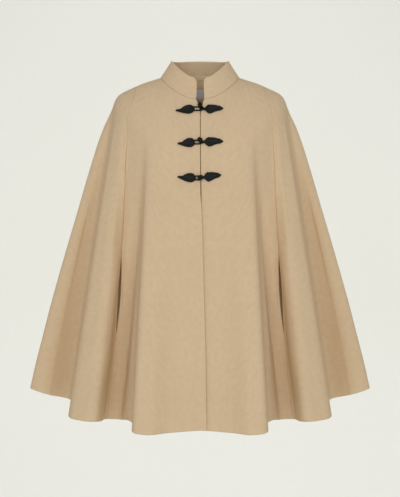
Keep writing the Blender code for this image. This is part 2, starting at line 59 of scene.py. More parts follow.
# Over the shoulders the cape follows oval sections, from the neck seam down. "down" is the share of the
# way from the neck seam to the hem.
Section = namedtuple("Section", "down half_width front back side_z front_z back_z")
SECTIONS = (
    Section(0.000, 0.083, 0.080, 0.062, 0.002, -0.052, 0.014),
    Section(0.076, 0.134, 0.098, 0.082, -0.016, -0.100, -0.040),
    Section(0.136, 0.174, 0.110, 0.096, -0.039, -0.141, -0.084),
    Section(0.220, 0.192, 0.115, 0.106, -0.098, -0.194, -0.146),
)
DROOP = 1.8  # how late a section's height turns down from the side to the front or back

# Below the shoulders the cloth falls straight to the hem, and the fold over the arm bows outwards.
SHOULDER_EDGE = 0.136
FALL_STARTS = 0.100
FALL_IS_FREE = 0.220
Bow = namedtuple("Bow", "down out")
ARM_BOW = (
    Bow(0.136, 0.0010),
    Bow(0.165, 0.0065),
    Bow(0.200, 0.0110),
    Bow(0.250, 0.0145),
    Bow(0.340, 0.0156),
    Bow(0.450, 0.0145),
    Bow(0.560, 0.0136),
    Bow(0.670, 0.0122),
    Bow(0.760, 0.0102),
    Bow(0.850, 0.0070),
    Bow(0.920, 0.0045),
    Bow(1.000, 0.0000),
)
ARM_FOLD = 0.555
ARM_FOLD_SPREAD = 0.075

# The hem, from the middle of the front to the middle of the back, on one side. The other side mirrors it.
HemPoint = namedtuple("HemPoint", "place around x y z")
HEM = (
    HemPoint("front edge", 0.000, 0.000, -0.150, -0.716),
    HemPoint("front panel", 0.090, 0.062, -0.172, -0.718),
    HemPoint("front fold", 0.155, 0.104, -0.196, -0.7185),
    HemPoint("front fold turns back", 0.200, 0.134, -0.176, -0.715),
    HemPoint("behind the front fold", 0.225, 0.1315, -0.112, -0.7140),
    HemPoint("back of the front fold", 0.262, 0.1484, -0.080, -0.7060),
    HemPoint("beside the side seam", 0.300, 0.1736, -0.057, -0.7094),
    HemPoint("side seam", 0.315, 0.1819, -0.052, -0.7103),
    HemPoint("side fold", 0.350, 0.206, -0.116, -0.704),
    HemPoint("side fold, outer part", 0.390, 0.240, -0.112, -0.702),
    HemPoint("side fold turns back", 0.430, 0.269, -0.074, -0.6975),
    HemPoint("behind the side fold", 0.455, 0.2640, -0.002, -0.6900),
    HemPoint("bottom of the arm fold", 0.480, 0.2824, 0.056, -0.6805),
    HemPoint("arm fold", 0.510, 0.3204, 0.032, -0.6686),
    HemPoint("outer edge", 0.545, 0.362, 0.042, -0.655),
    HemPoint("arm fold turns back", 0.580, 0.350, 0.094, -0.658),
    HemPoint("behind the arm fold", 0.620, 0.300, 0.118, -0.672),
    HemPoint("back seam fold", 0.665, 0.266, 0.172, -0.688),
    HemPoint("back seam", 0.700, 0.228, 0.202, -0.697),
    HemPoint("beside the back seam", 0.745, 0.180, 0.186, -0.704),
    HemPoint("back fold", 0.810, 0.132, 0.214, -0.708),
    HemPoint("beside the back fold", 0.880, 0.076, 0.206, -0.708),
    HemPoint("middle of the back", 1.000, 0.000, 0.224, -0.708),
)

# Soft creases besides the folds of the hem. Each runs down the cloth from where it starts, at its place
# around, and stands out (or sinks in, if negative) by its depth in metres. drift is how far it has moved
# around by the hem. The left side (1) and the right side (-1) have their own.
Crease = namedtuple("Crease", "side around width starts ends depth drift")
CREASE_RISES = 0.18  # share of the way down over which a crease comes up
CREASE_FADES = 0.22
CREASES = (
    Crease(1, 0.060, 0.020, 0.34, 1.00, -0.0012, 0.012),
    Crease(-1, 0.052, 0.018, 0.40, 1.00, -0.0010, 0.008),
    Crease(1, 0.128, 0.018, 0.16, 0.62, -0.0016, 0.016),
    Crease(-1, 0.120, 0.018, 0.14, 0.66, -0.0018, 0.020),
    Crease(1, 0.245, 0.021, 0.30, 1.00, -0.0120, 0.068),
    Crease(-1, 0.243, 0.022, 0.32, 1.00, -0.0124, 0.068),
    Crease(1, 0.290, 0.021, 0.58, 1.00, -0.0080, 0.012),
    Crease(-1, 0.288, 0.022, 0.60, 1.00, -0.0084, 0.014),
    Crease(1, 0.308, 0.007, 0.50, 0.86, 0.0028, 0.000),
    Crease(-1, 0.308, 0.007, 0.50, 0.84, 0.0030, 0.000),
    Crease(1, 0.322, 0.013, 0.14, 0.66, 0.0056, 0.006),
    Crease(-1, 0.323, 0.013, 0.15, 0.68, 0.0060, 0.004),
    Crease(1, 0.334, 0.011, 0.44, 0.98, 0.0046, 0.004),
    Crease(-1, 0.335, 0.011, 0.46, 0.96, 0.0050, 0.003),
    Crease(1, 0.496, 0.020, 0.34, 1.00, -0.0092, 0.004),
    Crease(-1, 0.498, 0.020, 0.36, 1.00, -0.0086, 0.002),
    Crease(1, 0.372, 0.012, 0.20, 0.90, -0.0016, -0.010),
    Crease(-1, 0.366, 0.013, 0.24, 1.00, -0.0018, -0.006),
    Crease(1, 0.410, 0.012, 0.14, 0.60, 0.0014, 0.008),
    Crease(-1, 0.416, 0.012, 0.18, 0.70, 0.0012, 0.010),
    Crease(1, 0.610, 0.020, 0.20, 0.80, -0.0022, 0.010),
    Crease(-1, 0.625, 0.018, 0.16, 0.72, -0.0020, 0.014),
    Crease(1, 0.668, 0.014, 0.30, 1.00, 0.0016, -0.012),
    Crease(-1, 0.660, 0.016, 0.34, 1.00, 0.0014, -0.006),
    Crease(1, 0.775, 0.020, 0.14, 0.62, -0.0022, 0.012),
    Crease(-1, 0.790, 0.018, 0.18, 0.74, -0.0024, 0.006),
    Crease(1, 0.850, 0.022, 0.30, 1.00, 0.0020, -0.012),
    Crease(-1, 0.862, 0.020, 0.26, 0.94, 0.0018, -0.010),
    Crease(1, 0.940, 0.022, 0.12, 0.70, -0.0020, -0.008),
    Crease(-1, 0.930, 0.020, 0.22, 0.86, -0.0016, 0.010),
)

# Seams. FRONT_SEAM and BACK_SEAM are their places around the hem.
SHOULDER_POINT = 0.076
SEAMS_STRAIGHT = 0.160
SEAM_BEND = 2.0
FRONT_SEAM = 0.315
BACK_SEAM = 0.700
NECK_SHARE = 0.72  # share of a front or half back panel's top edge that lies along the neck
TURN_WEIGHT = 0.012  # metres of hem that one radian of bend counts for where columns are spaced

# Arm slits in the front seams
SLIT_TOP = 0.535
SLIT_BOTTOM = 0.759
SLIT_WIDTH = 0.0082
SLIT_FRONT_STEPS_IN = 0.0030
SLIT_SIDE_STANDS_OUT = 0.0015
SLIT_SPREAD = 0.045

# Front edges. The right front stands forward of the left one and laps over it below the last fastening.
FrontEdge = namedtuple("FrontEdge", "down right_x left_x lift")
FRONT_EDGES = (
    FrontEdge(0.000, -0.0080, 0.0084, 0.0),
    FrontEdge(0.022, -0.0024, 0.0040, 0.0),
    FrontEdge(0.046, 0.0002, 0.0016, 0.0),
    FrontEdge(0.075, 0.0002, 0.0014, 0.0),
    FrontEdge(0.220, 0.0006, 0.0018, 0.0),
    FrontEdge(0.260, 0.0008, 0.0022, 0.0001),
    FrontEdge(0.300, 0.0014, 0.0026, 0.0038),
    FrontEdge(0.330, 0.0030, 0.0022, 0.0046),
    FrontEdge(0.390, 0.0048, 0.0010, 0.0046),
    FrontEdge(0.610, 0.0090, 0.0000, 0.0046),
    FrontEdge(0.770, 0.0120, 0.0010, 0.0046),
    FrontEdge(1.000, 0.0138, 0.0020, 0.0048),
)
EDGE_REACH = 0.5  # share of the front panel over which the edge's own line and lift die out

# Rows and columns of the cloth's grids
PANEL_ROWS = 120
FRONT_COLUMNS = 62
SIDE_COLUMNS = 104
BACK_COLUMNS = 52
ALLOWANCE_ROWS = 90
NECK_STEPS = (0.0, 0.0005, 0.0014, 0.0028, 0.0052)  # shares of the way down, beside the neck seam
SIDE_STARTS = 0.004  # the side panels' first row, as a share of the way down
SMALL_STEP = 0.002  # the step, around or down, over which the form's directions are measured

# Distances from an edge of the cloth, in metres, where its grid has columns or rows
EDGE_STEPS = (0.0, 0.0003, 0.0009, 0.0018, 0.0034, 0.0058)
FRONT_WIDTH = 0.26  # rough widths of the panels, for those steps
SIDE_WIDTH = 0.45
BACK_WIDTH = 0.26
HEM_TURN = 0.038
HEM_TURN_STEPS = (0.004, 0.008, 0.013, 0.019, 0.026, 0.032, 0.0358, 0.0372, 0.0378, 0.038)
HEM_TURN_SITS = 0.0002
SEAM_ALLOWANCE = 0.012
ALLOWANCE_STEPS = (0.0004, 0.0008, 0.0016, 0.0040, 0.0080, 0.0106, 0.0114, 0.0118)
ALLOWANCE_THINNER = 0.85  # pressed flat, the allowance is this share of the cloth's thickness
NECK_THINNER = 0.8  # and the neck seam's allowance is this share of it
ALLOWANCE_ROUND = 0.0008
ALLOWANCE_LIES = 1.45  # its middle is this many cloth thicknesses inside the outer face
ALLOWANCE_GAP = 0.0002  # between the allowance and the inside of the panel
EDGE_ROUND = 0.0009  # radius of a cloth edge
NECK_ROUND = 0.0003  # radius of the cloth edges at the neck seam, where they are pressed together
NECK_GAP = 0.00005  # between the collar's foot and the cloth below it
CLOTH_SMOOTH = 50  # degrees, under which an edge is shaded smooth
CORD_SMOOTH = 60

# Stand collar
RIM_HALF_WIDTH = 0.0598
RIM_FRONT = 0.0655
RIM_BACK = 0.0500
RIM_SIDE_Z = 0.038
RIM_FRONT_Z = -0.0055
RIM_BACK_Z = 0.0445
RIM_CORNER = 0.0095
COLLAR_HOLLOW = 0.0006
COLLAR_ROWS = 30
COLLAR_COLUMNS = 150

# Label
LABEL_WIDTH = 0.030
LABEL_TOP = -0.013
LABEL_BOTTOM = -0.033
LABEL_CLOTH = 0.0006
LABEL_SITS = 0.0005
LABEL_COLUMNS = 31
LABEL_ROWS = 21

# Fastenings. Places are x and z in metres as seen from the front.
Frog = namedtuple(
    "Frog",
    "name loop_tip_x loop_tip_z loop_root_x loop_root_z ball_x ball_z "
    "knot_root_x knot_root_z knot_tip_x knot_tip_z",
)
FROGS = (
    Frog("frog_1", -0.0489, -0.0767, -0.0124, -0.0732, 0.0000, -0.0684, 0.0109, -0.0737, 0.0468, -0.0720),
    Frog("frog_2", -0.0444, -0.1451, -0.0113, -0.1426, -0.0006, -0.1395, 0.0100, -0.1417, 0.0464, -0.1405),
    Frog("frog_3", -0.0447, -0.2125, -0.0100, -0.2147, -0.0003, -0.2155, 0.0092, -0.2131, 0.0423, -0.2088),
)
BALL_HEIGHT = 0.0098
BALL_STRAND = 0.0016  # radius of the cord that the ball knots are tied in
WING_SITS = 0.0005
LOOP_HALF_WIDTH = 0.0036
LOOP_REACH = 0.0057  # from the ball's middle to the middle of the cord at the loop's end
LOOP_SITS = 0.0024
LOOP_END_SITS = 0.0053
KNOT_CORD_SITS = 0.0019

# A wing's outline, from its root to its tip
WingPlace = namedtuple("WingPlace", "along above below")
LOOP_WING = (
    WingPlace(0.00, 0.0044, 0.0046),
    WingPlace(0.08, 0.0076, 0.0075),
    WingPlace(0.23, 0.0092, 0.0091),
    WingPlace(0.45, 0.0082, 0.0084),
    WingPlace(0.56, 0.0064, 0.0072),
    WingPlace(0.66, 0.0040, 0.0060),
    WingPlace(0.77, 0.0024, 0.0044),
    WingPlace(0.90, 0.0021, 0.0026),
    WingPlace(1.00, 0.0013, 0.0014),
)
KNOT_WING = (
    WingPlace(0.00, 0.0036, 0.0046),
    WingPlace(0.06, 0.0058, 0.0064),
    WingPlace(0.15, 0.0085, 0.0090),
    WingPlace(0.30, 0.0087, 0.0096),
    WingPlace(0.43, 0.0084, 0.0079),
    WingPlace(0.56, 0.0076, 0.0062),
    WingPlace(0.70, 0.0062, 0.0050),
    WingPlace(0.83, 0.0050, 0.0042),
    WingPlace(0.93, 0.0027, 0.0027),
    WingPlace(1.00, 0.0015, 0.0015),
)
# The nested loops of cord in a wing: how far each lies in from the outline, how far it stands above the
# outermost one, and the shares of the wing's length where it turns.
WingLoop = namedtuple("WingLoop", "inset rise starts ends")
LOOP_WING_LOOPS = (
    WingLoop(0.0014, 0.0000, 0.000, 0.972),
    WingLoop(0.0040, 0.0005, 0.075, 0.760),
    WingLoop(0.0065, 0.0009, 0.140, 0.600),
    WingLoop(0.0090, 0.0011, 0.205, 0.450),
)
KNOT_WING_LOOPS = (
    WingLoop(0.0014, 0.0000, 0.010, 0.972),
    WingLoop(0.0040, 0.0005, 0.080, 0.860),
    WingLoop(0.0065, 0.0009, 0.145, 0.690),
    WingLoop(0.0090, 0.0011, 0.210, 0.520),
)
WING_TIP = 0.0009  # half the least distance between the middles of a loop's two sides
WING_BACKING = 0.0012  # thickness of the felt behind a wing, and how far it stays in from the outline
WING_SAG = 0.00018  # how far the sewn cord wanders between its stitches
CORD_SIDES = 14
CORD_LOBES = (0.78, 0.22)  # the shares of the cord's radius that are its core and its two plies

# The stage: a paper sweep, soft square lights with their size in metres, spread in degrees and power in
# watts, and a camera that takes in PICTURE_HEIGHT metres at the cape.
SWEEP_WIDTH = 16.0
SWEEP_DEPTH = 10.8
SWEEP_WALL = 6.0
SWEEP_BACK = -0.2  # the place of the floor's middle, along y
SWEEP_BEND = 1.5
SWEEP_BEND_STEPS = 24
ROOM_LIGHT = 0.48
CAPE_MIDDLE = (0.0, 0.0, -0.356)
StudioLight = namedtuple("StudioLight", "name place aim size spread power")
STUDIO_LIGHTS = (
    StudioLight("front_light", (0.0, -4.2, 0.3), CAPE_MIDDLE, 1.0, 180, 23.0),
    StudioLight("front_light_left", (-1.3, -4.2, 0.5), CAPE_MIDDLE, 1.0, 180, 25.0),
    StudioLight("front_light_right", (1.3, -4.2, 0.5), CAPE_MIDDLE, 1.0, 180, 24.0),
    StudioLight("side_light_left", (-3.2, -1.2, 0.2), CAPE_MIDDLE, 1.6, 180, 3.0),
    StudioLight("side_light_right", (3.2, -1.2, 0.2), CAPE_MIDDLE, 1.6, 180, 3.0),
    StudioLight("back_light", (0.5, 4.4, 1.4), CAPE_MIDDLE, 2.0, 180, 20.0),
    StudioLight("background_light_left", (-4.0, 2.9, -0.1), (0.6, 5.2, -0.6), 2.4, 100, 14.4),
    StudioLight("background_light_right", (4.0, 2.9, -0.1), (-0.6, 5.2, -0.6), 2.4, 100, 14.4),
    StudioLight("background_light_top", (0.0, 2.9, 3.9), (0.0, 5.1, -0.1), 3.0, 110, 22.0),
)
SENSOR = 36.0  # millimetres
PICTURE_HEIGHT = 1.0437


def curve_through(knots, values, at):
    """A smooth curve through the values at the knots, read at one place or many."""
    knots = np.asarray(knots, float)
    values = np.asarray(values, float)
    at = np.clip(np.asarray(at, float), knots[0], knots[-1])
    steps = np.diff(knots)
    slopes = np.diff(values) / steps
    tangents = np.empty_like(values)
    tangents[1:-1] = (slopes[:-1] * steps[1:] + slopes[1:] * steps[:-1]) / (steps[:-1] + steps[1:])
    tangents[0] = slopes[0]
    tangents[-1] = slopes[-1]
    i = np.clip(np.searchsorted(knots, at, side="right") - 1, 0, len(steps) - 1)
    s = (at - knots[i]) / steps[i]
    start = values[i] * (2 * s**3 - 3 * s**2 + 1) + tangents[i] * steps[i] * (s**3 - 2 * s**2 + s)
    end = values[i + 1] * (3 * s**2 - 2 * s**3) + tangents[i + 1] * steps[i] * (s**3 - s**2)
    return start + end


def column(rows, name):
    return [getattr(row, name) for row in rows]


def unit(vectors):
    return vectors / np.maximum(np.linalg.norm(vectors, axis=-1, keepdims=True), 1e-12)


def eased(share):
    """The share, with a soft start and a soft end."""
    share = np.clip(share, 0, 1)
    return share * share * (3 - 2 * share)


def section_size(name, down):
    return curve_through(column(SECTIONS, "down"), column(SECTIONS, name), down)


def shoulder_point(around, down):
    """The oval form over the shoulders, on the wearer's left half."""
    angle = np.pi * np.asarray(around, float)
    to_front = np.cos(angle)
    ahead = to_front > 0
    reach = np.where(ahead, section_size("front", down), section_size("back", down))
    side_z = section_size("side_z", down)
    end_z = np.where(ahead, section_size("front_z", down), section_size("back_z", down))
    x = section_size("half_width", down) * np.sin(angle)
    y = -reach * to_front
    z = side_z + (end_z - side_z) * np.abs(to_front) ** DROOP
    return np.stack(np.broadcast_arrays(x, y, z), axis=-1)


def hem_point(around):
    knots = column(HEM, "around")
    return np.stack([curve_through(knots, column(HEM, axis), around) for axis in "xyz"], axis=-1)


def fall_point(around, down):
    """The cloth that falls straight from the shoulders' edge to the hem."""
    edge = shoulder_point(around, SHOULDER_EDGE)
    share = (down - SHOULDER_EDGE) / (1 - SHOULDER_EDGE)
    point = edge + (hem_point(around) - edge) * share[..., None]
    bow = curve_through(column(ARM_BOW, "down"), column(ARM_BOW, "out"), down)
    point[..., 0] += bow * np.exp(-(((around - ARM_FOLD) / ARM_FOLD_SPREAD) ** 2))
    return point


def which_half(around):
    """The half that a place lies on, 1 or -1, and its place around there. Past 0 or 1 around, a place
    runs on into the other half."""
    side = np.where((around < 0) | (around > 1), -1.0, 1.0)
    return side, np.where(around < 0, -around, np.where(around > 1, 2 - around, around))


def form_point(around, down):
    """A point of the cape's smooth form."""
    around, down = np.broadcast_arrays(np.asarray(around, float), np.asarray(down, float))
    side, half = which_half(around)
    free = eased((down - FALL_STARTS) / (FALL_IS_FREE - FALL_STARTS))[..., None]
    point = shoulder_point(half, down) * (1 - free) + fall_point(half, down) * free
    point[..., 0] *= side
    return point


def form_normal(around, down):
    """The outward direction of the cape's smooth form."""
    around, down = np.broadcast_arrays(np.asarray(around, float), np.asarray(down, float))
    across = form_point(around + SMALL_STEP, down) - form_point(around - SMALL_STEP, down)
    below = form_point(around, np.clip(down + SMALL_STEP, 0, 1))
    above = form_point(around, np.clip(down - SMALL_STEP, 0, 1))
    return unit(np.cross(below - above, across))


def crease_depth(around, down):
    """How far the soft creases move the cloth outwards."""
    side, half = which_half(around)
    depth = np.zeros(np.broadcast(around, down).shape)
    for crease in CREASES:
        progress = np.clip((down - crease.starts) / (1 - crease.starts), 0, 1)
        place = crease.around + crease.drift * progress
        rise = eased((down - crease.starts) / CREASE_RISES)
        fade = 1.0 if crease.ends >= 1 else eased((crease.ends - down) / CREASE_FADES)
        shape = np.exp(-(((half - place) / crease.width) ** 2))
        depth = depth + np.where(side == crease.side, crease.depth * rise * fade * shape, 0.0)
    return depth


def cape_point(around, down):
    """A point of the cape's outer surface, with its soft creases."""
    around, down = np.broadcast_arrays(np.asarray(around, float), np.asarray(down, float))
    return form_point(around, down) + form_normal(around, down) * crease_depth(around, down)[..., None]


def seam_bend(row):
    """1 at the neck seam, where the panel edges run to the shoulder, and 0 where they hang straight."""
    return np.clip(1 - np.asarray(row, float) / SEAMS_STRAIGHT, 0, 1) ** SEAM_BEND


def half_panel_place(middle, seam, share, row):
    """Where a point of a front or half back panel lies: share 0 is the middle, 1 is the seam."""
    bend = seam_bend(row)
    top_around = middle + (0.5 - middle) * np.minimum(share / NECK_SHARE, 1)
    top_down = SHOULDER_POINT * np.maximum(0, (share - NECK_SHARE) / (1 - NECK_SHARE))
    around = (1 - bend) * (middle + (seam - middle) * share) + bend * top_around
    down = row + bend * top_down
    return around, np.minimum(down, 1)


def front_place(side, share, row):
    """Where a point of a front panel lies, with its own front edge. side is 1 for left, -1 for right."""
    around, down = half_panel_place(0.0, FRONT_SEAM, share, row)
    downs = column(FRONT_EDGES, "down")
    edge_x = curve_through(downs, column(FRONT_EDGES, "left_x" if side > 0 else "right_x"), down)
    metres_around = form_point(0.01, down)[..., 0] / 0.01
    near_edge = eased(1 - share / EDGE_REACH)
    return side * around + near_edge * edge_x / metres_around, down


def front_lift(side, share, down):
    """How far the right front stands forward of the left one."""
    lift = curve_through(column(FRONT_EDGES, "down"), column(FRONT_EDGES, "lift"), down)
    return lift * eased(1 - share / EDGE_REACH) if side < 0 else 0.0 * lift


def front_form(side, share, row, out=0.0):
    """A point of a front panel's smooth form, or one that lies out from it."""
    around, down = front_place(side, share, row)
    lift = front_lift(side, share, down)
    return form_point(around, down) + form_normal(around, down) * (lift + out)[..., None]


def front_surface(side, x, z, out):
    """The point that lies out from a front panel at the given x and z."""
    x, z, out = np.broadcast_arrays(np.asarray(x, float), np.asarray(z, float), np.asarray(out, float))
    share = np.clip(np.abs(x) / 0.17, 0.0, 0.9)
    row = np.clip((-0.052 - z) / 0.66, 0.01, 0.9)
    step = 0.001
    for _ in range(14):
        here = front_form(side, share, row)
        by_share = (front_form(side, share + step, row) - here) / step
        by_row = (front_form(side, share, row + step) - here) / step
        miss_x = x - here[..., 0]
        miss_z = z - here[..., 2]
        size = by_share[..., 0] * by_row[..., 2] - by_row[..., 0] * by_share[..., 2]
        share = share + (miss_x * by_row[..., 2] - miss_z * by_row[..., 0]) / size
        row = row + (miss_z * by_share[..., 0] - miss_x * by_share[..., 2]) / size
        row = np.clip(row, 0.0, 0.95)
    return front_form(side, share, row, out)


def cape_surface(x, z, out, around):
    """The point that lies out from the whole cape at the given x and z, searched for from around."""
    x, z, out = np.broadcast_arrays(np.asarray(x, float), np.asarray(z, float), np.asarray(out, float))
    around = np.full(x.shape, float(around))
    down = np.full(x.shape, 0.1)
    for _ in range(14):
        here = form_point(around, down)
        scale = (form_point(around + 0.001, down)[..., 0] - here[..., 0]) / 0.001
        fall = (form_point(around, down + 0.001)[..., 2] - here[..., 2]) / 0.001
        around = around + (x - here[..., 0]) / scale
        down = np.clip(down + (z - here[..., 2]) / fall, 0, 0.98)
    return form_point(around, down) + form_normal(around, down) * out[..., None]


def over_front(x, z, out):
    """A point out from the closed fronts, as if they were one surface."""
    return cape_surface(x, z, out, 0.0)


def column_shares(first, last, count):
    """Shares for a panel's columns, closer together where the hem bends."""
    places = np.linspace(first, last, 1500)
    steps = np.diff(hem_point(places), axis=0)
    lengths = np.linalg.norm(steps, axis=1)
    turns = np.linalg.norm(np.diff(steps / lengths[:, None], axis=0), axis=1)
    measure = np.concatenate([[0], np.cumsum(lengths + TURN_WEIGHT * np.append(turns, 0))])
    even = np.linspace(0, measure[-1], count + 1)
    return np.interp(even, measure, np.linspace(0, 1, 1500))


def with_edge_steps(shares, width, first=True, last=True):
    """The shares with fine columns added beside the panel's edges."""
    near = np.array(EDGE_STEPS) / width
    inner = shares
    if first:
        inner = np.concatenate([near, inner[inner > near[-1] * 1.4]])
    if last:
        inner = np.concatenate([inner[inner < 1 - near[-1] * 1.4], (1 - near)[::-1]])
    return inner


def slit_share(row):
    """0 above and below the arm slit, 1 halfway down it."""
    inside = np.clip((np.asarray(row, float) - SLIT_TOP) / (SLIT_BOTTOM - SLIT_TOP), 0, 1)
    return np.sin(np.pi * inside) ** 0.7


# Cloth pieces


def panel_place(panel, side, share, row):
    """Where a panel's point lies around and down the cape, and how far it is lifted off the form. On the
    back panel, share runs from -1 at the left seam to 1 at the right seam."""
    if panel == "front":
        around, down = front_place(side, share, row)
        return around, down, front_lift(side, share, down)
    if panel == "side":
        bend = seam_bend(row)
        around = (1 - bend) * (FRONT_SEAM + (BACK_SEAM - FRONT_SEAM) * share) + bend * 0.5
        return side * around, np.minimum(row + bend * SHOULDER_POINT, 1), 0.0 * share
    around, down = half_panel_place(1.0, BACK_SEAM, np.abs(share), row)
    return np.where(share < 0, around, 2 - around), down, 0.0 * share


def cloth_points(panel, side, share, row):
    """Points of a panel's outer face, with the arm slit open, and the outward directions there."""
    share, row = np.broadcast_arrays(np.asarray(share, float), np.asarray(row, float))

    def lying(share):
        around, down, lift = panel_place(panel, side, share, row)
        normals = form_normal(around, down)
        return cape_point(around, down) + normals * lift[..., None], normals

    points, normals = lying(share)
    if panel != "back":
        seam, beside, stands_out = {
            "front": (1.0, 0.96, -SLIT_FRONT_STEPS_IN),
            "side": (0.0, 0.03, SLIT_SIDE_STANDS_OUT),
        }[panel]
        edge = lying(np.full_like(share, seam))[0]
        away = unit(lying(np.full_like(share, beside))[0] - edge)
        distance = np.linalg.norm(points - edge, axis=-1)
        near = (eased(1 - distance / SLIT_SPREAD) * slit_share(row))[..., None]
        points = points + near * (0.5 * SLIT_WIDTH * away + stands_out * normals)
    return points, normals


def hem_rows(panel, side, shares, settings):
    """The middle of the cloth, from the neck down to the hem, round its fold and up inside."""
    half = settings.cloth / 2
    bend = half + HEM_TURN_SITS
    share = np.asarray(shares)[None, :]
    hem, normal = cloth_points(panel, side, share, 1.0)
    above, _ = cloth_points(panel, side, share, 0.99)
    metres_per_row = np.linalg.norm(hem - above, axis=-1).mean() / 0.01
    along = unit(hem - above)
    near_neck = (SIDE_STARTS if panel == "side" else 0.0) + np.array(NECK_STEPS)
    down_to_hem = np.linspace(near_neck[-1], 1 - 0.005 / metres_per_row, PANEL_ROWS)[1:]
    rows = np.concatenate([near_neck, down_to_hem])
    points, normals = cloth_points(panel, side, share, rows[:, None])
    cloth = [points - normals * half]
    centre = hem - along * (bend + half) - normal * (half + bend)
    for angle in np.linspace(0, math.pi, 7):
        cloth.append(centre + normal * bend * math.cos(angle) + along * bend * math.sin(angle))
    up = settings.hem_turn * (np.array(HEM_TURN_STEPS) / HEM_TURN)[:, None]
    points, normals = cloth_points(panel, side, share, 1 - up / metres_per_row)
    cloth.append(points - normals * (half + 2 * bend))
    return np.concatenate(cloth), metres_per_row


def allowance_grid(panel, side, seam, inward, last_row, settings):
    """A seam allowance, pressed open against the inside of the panel."""
    first = 0.006 if panel == "side" else 0.004
    rows = np.linspace(first, last_row, ALLOWANCE_ROWS)[:, None]
    edge, _ = cloth_points(panel, side, seam, rows)
    beside, _ = cloth_points(panel, side, seam + 0.01 * inward, rows)
    metres_per_share = np.linalg.norm(beside - edge, axis=-1) / 0.01
    room = np.minimum(1, 0.42 * metres_per_share / settings.seam_allowance)
    steps = np.array(ALLOWANCE_STEPS)[None, :] / SEAM_ALLOWANCE
    share = seam + inward * settings.seam_allowance * steps * room / metres_per_share
    points, normals = cloth_points(panel, side, share, rows)
    return points - normals * (ALLOWANCE_LIES * settings.cloth + ALLOWANCE_GAP)


def neck_ends():
    """The places around where the neck seam starts and ends, at the two front edges."""
    start = np.array(0.0)
    return front_place(1, start, start)[0], 2 + front_place(-1, start, start)[0]


def neck_allowance_points(settings):
    """The neck seam's allowance, behind the top edges of the fronts and the back."""
    first, last = neck_ends()
    down = np.array([-0.0012, -0.0008, 0.0, 0.004, 0.009, 0.0106, 0.0114, 0.0118])[:, None]
    around, down = np.broadcast_arrays(np.linspace(first + 0.003, last - 0.003, 140)[None, :], down)
    points = form_point(around, np.maximum(down, 0))
    normals = form_normal(around, np.maximum(down, 0))
    points[..., 2] -= np.minimum(down, 0)
    return points - normals * (ALLOWANCE_LIES * settings.cloth + 2 * ALLOWANCE_GAP)


def edge_weights(points, roundings):
    """1 inside a sheet and down to 0 at its edges, so that the cloth's edges come out round. The roundings
    are those of the first row, the last row, the first column and the last column."""
    inside = np.ones(points.shape[:2])
    for edge, radius in zip((points[:1], points[-1:], points[:, :1], points[:, -1:]), roundings):
        inside = np.minimum(inside, np.linalg.norm(points - edge, axis=-1) / radius)
    return np.sqrt(1 - (1 - inside) ** 2)


def cloth_lengths(points):
    """How far each point lies across and along the cloth, in metres, for its UV map."""
    across = np.linalg.norm(np.diff(points, axis=1), axis=-1)
    across = np.concatenate([np.zeros((len(points), 1)), np.cumsum(across, axis=1)], axis=1)
    across = across - across.mean(axis=1, keepdims=True)
    along = np.linalg.norm(np.diff(points, axis=0), axis=-1)
    along = np.concatenate([np.zeros((1, points.shape[1])), np.cumsum(along, axis=0)])
    return across, along[-1].mean() - along


def add_grid(name, points, outward):
    """A primitive grid laid on the rows of points, its first row at the top of the UV map."""
    rows, columns = points.shape[:2]
    bpy.ops.object.select_all(action="DESELECT")
    bpy.ops.mesh.primitive_grid_add(x_subdivisions=columns - 1, y_subdivisions=rows - 1, size=1.0)
    piece = bpy.context.object
    piece.name = piece.data.name = name
    mesh = piece.data
    flat = np.empty(len(mesh.vertices) * 3)
    mesh.vertices.foreach_get("co", flat)
    flat = flat.reshape(-1, 3)
    at_column = np.rint((flat[:, 0] + 0.5) * (columns - 1)).astype(int)
    at_row = rows - 1 - np.rint((flat[:, 1] + 0.5) * (rows - 1)).astype(int)
    mesh.vertices.foreach_set("co", points[at_row, at_column].ravel())
    across, along = cloth_lengths(points)
    vertex = np.empty(len(mesh.loops), dtype=np.int32)
    mesh.loops.foreach_get("vertex_index", vertex)
    uv = np.stack([across[at_row, at_column][vertex], along[at_row, at_column][vertex]], axis=-1)
    mesh.uv_layers.active.data.foreach_set("uv", uv.ravel())
    mesh.update()
    normals = np.empty(len(mesh.vertices) * 3)
    mesh.vertices.foreach_get("normal", normals)
    if (normals.reshape(-1, 3) * outward[at_row, at_column]).sum() < 0:
        mesh.flip_normals()
    return piece, at_row, at_column


def choose(*pieces):
    """Selects these pieces alone. The first one is the active one."""
    bpy.ops.object.select_all(action="DESELECT")
    for piece in pieces:
        piece.select_set(True)
    bpy.context.view_layer.objects.active = pieces[0]


def apply_modifiers(piece):
    choose(piece)
    for modifier in list(piece.modifiers):
        bpy.ops.object.modifier_apply(modifier=modifier.name)


def joined(pieces):
    """The pieces as one, under the first one's name."""
    choose(*pieces)
    if len(pieces) > 1:
        bpy.ops.object.join()
    return pieces[0]


def smoothed(piece, degrees):
    """The piece shaded smooth, but for its edges sharper than the angle."""
    choose(piece)
    bpy.ops.object.shade_smooth_by_angle(angle=math.radians(degrees))
    return piece


def in_material(piece, material):
    """The piece, all of it in one material."""
    piece.data.materials.clear()
    piece.data.materials.append(material)
    return piece


def in_place_of(node, piece, degrees):
    """The smoothed piece, which stands for its CAD node and rides on the cape's body."""
    smoothed(piece, degrees)
    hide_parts(node)
    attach(piece, BODY)
    return piece


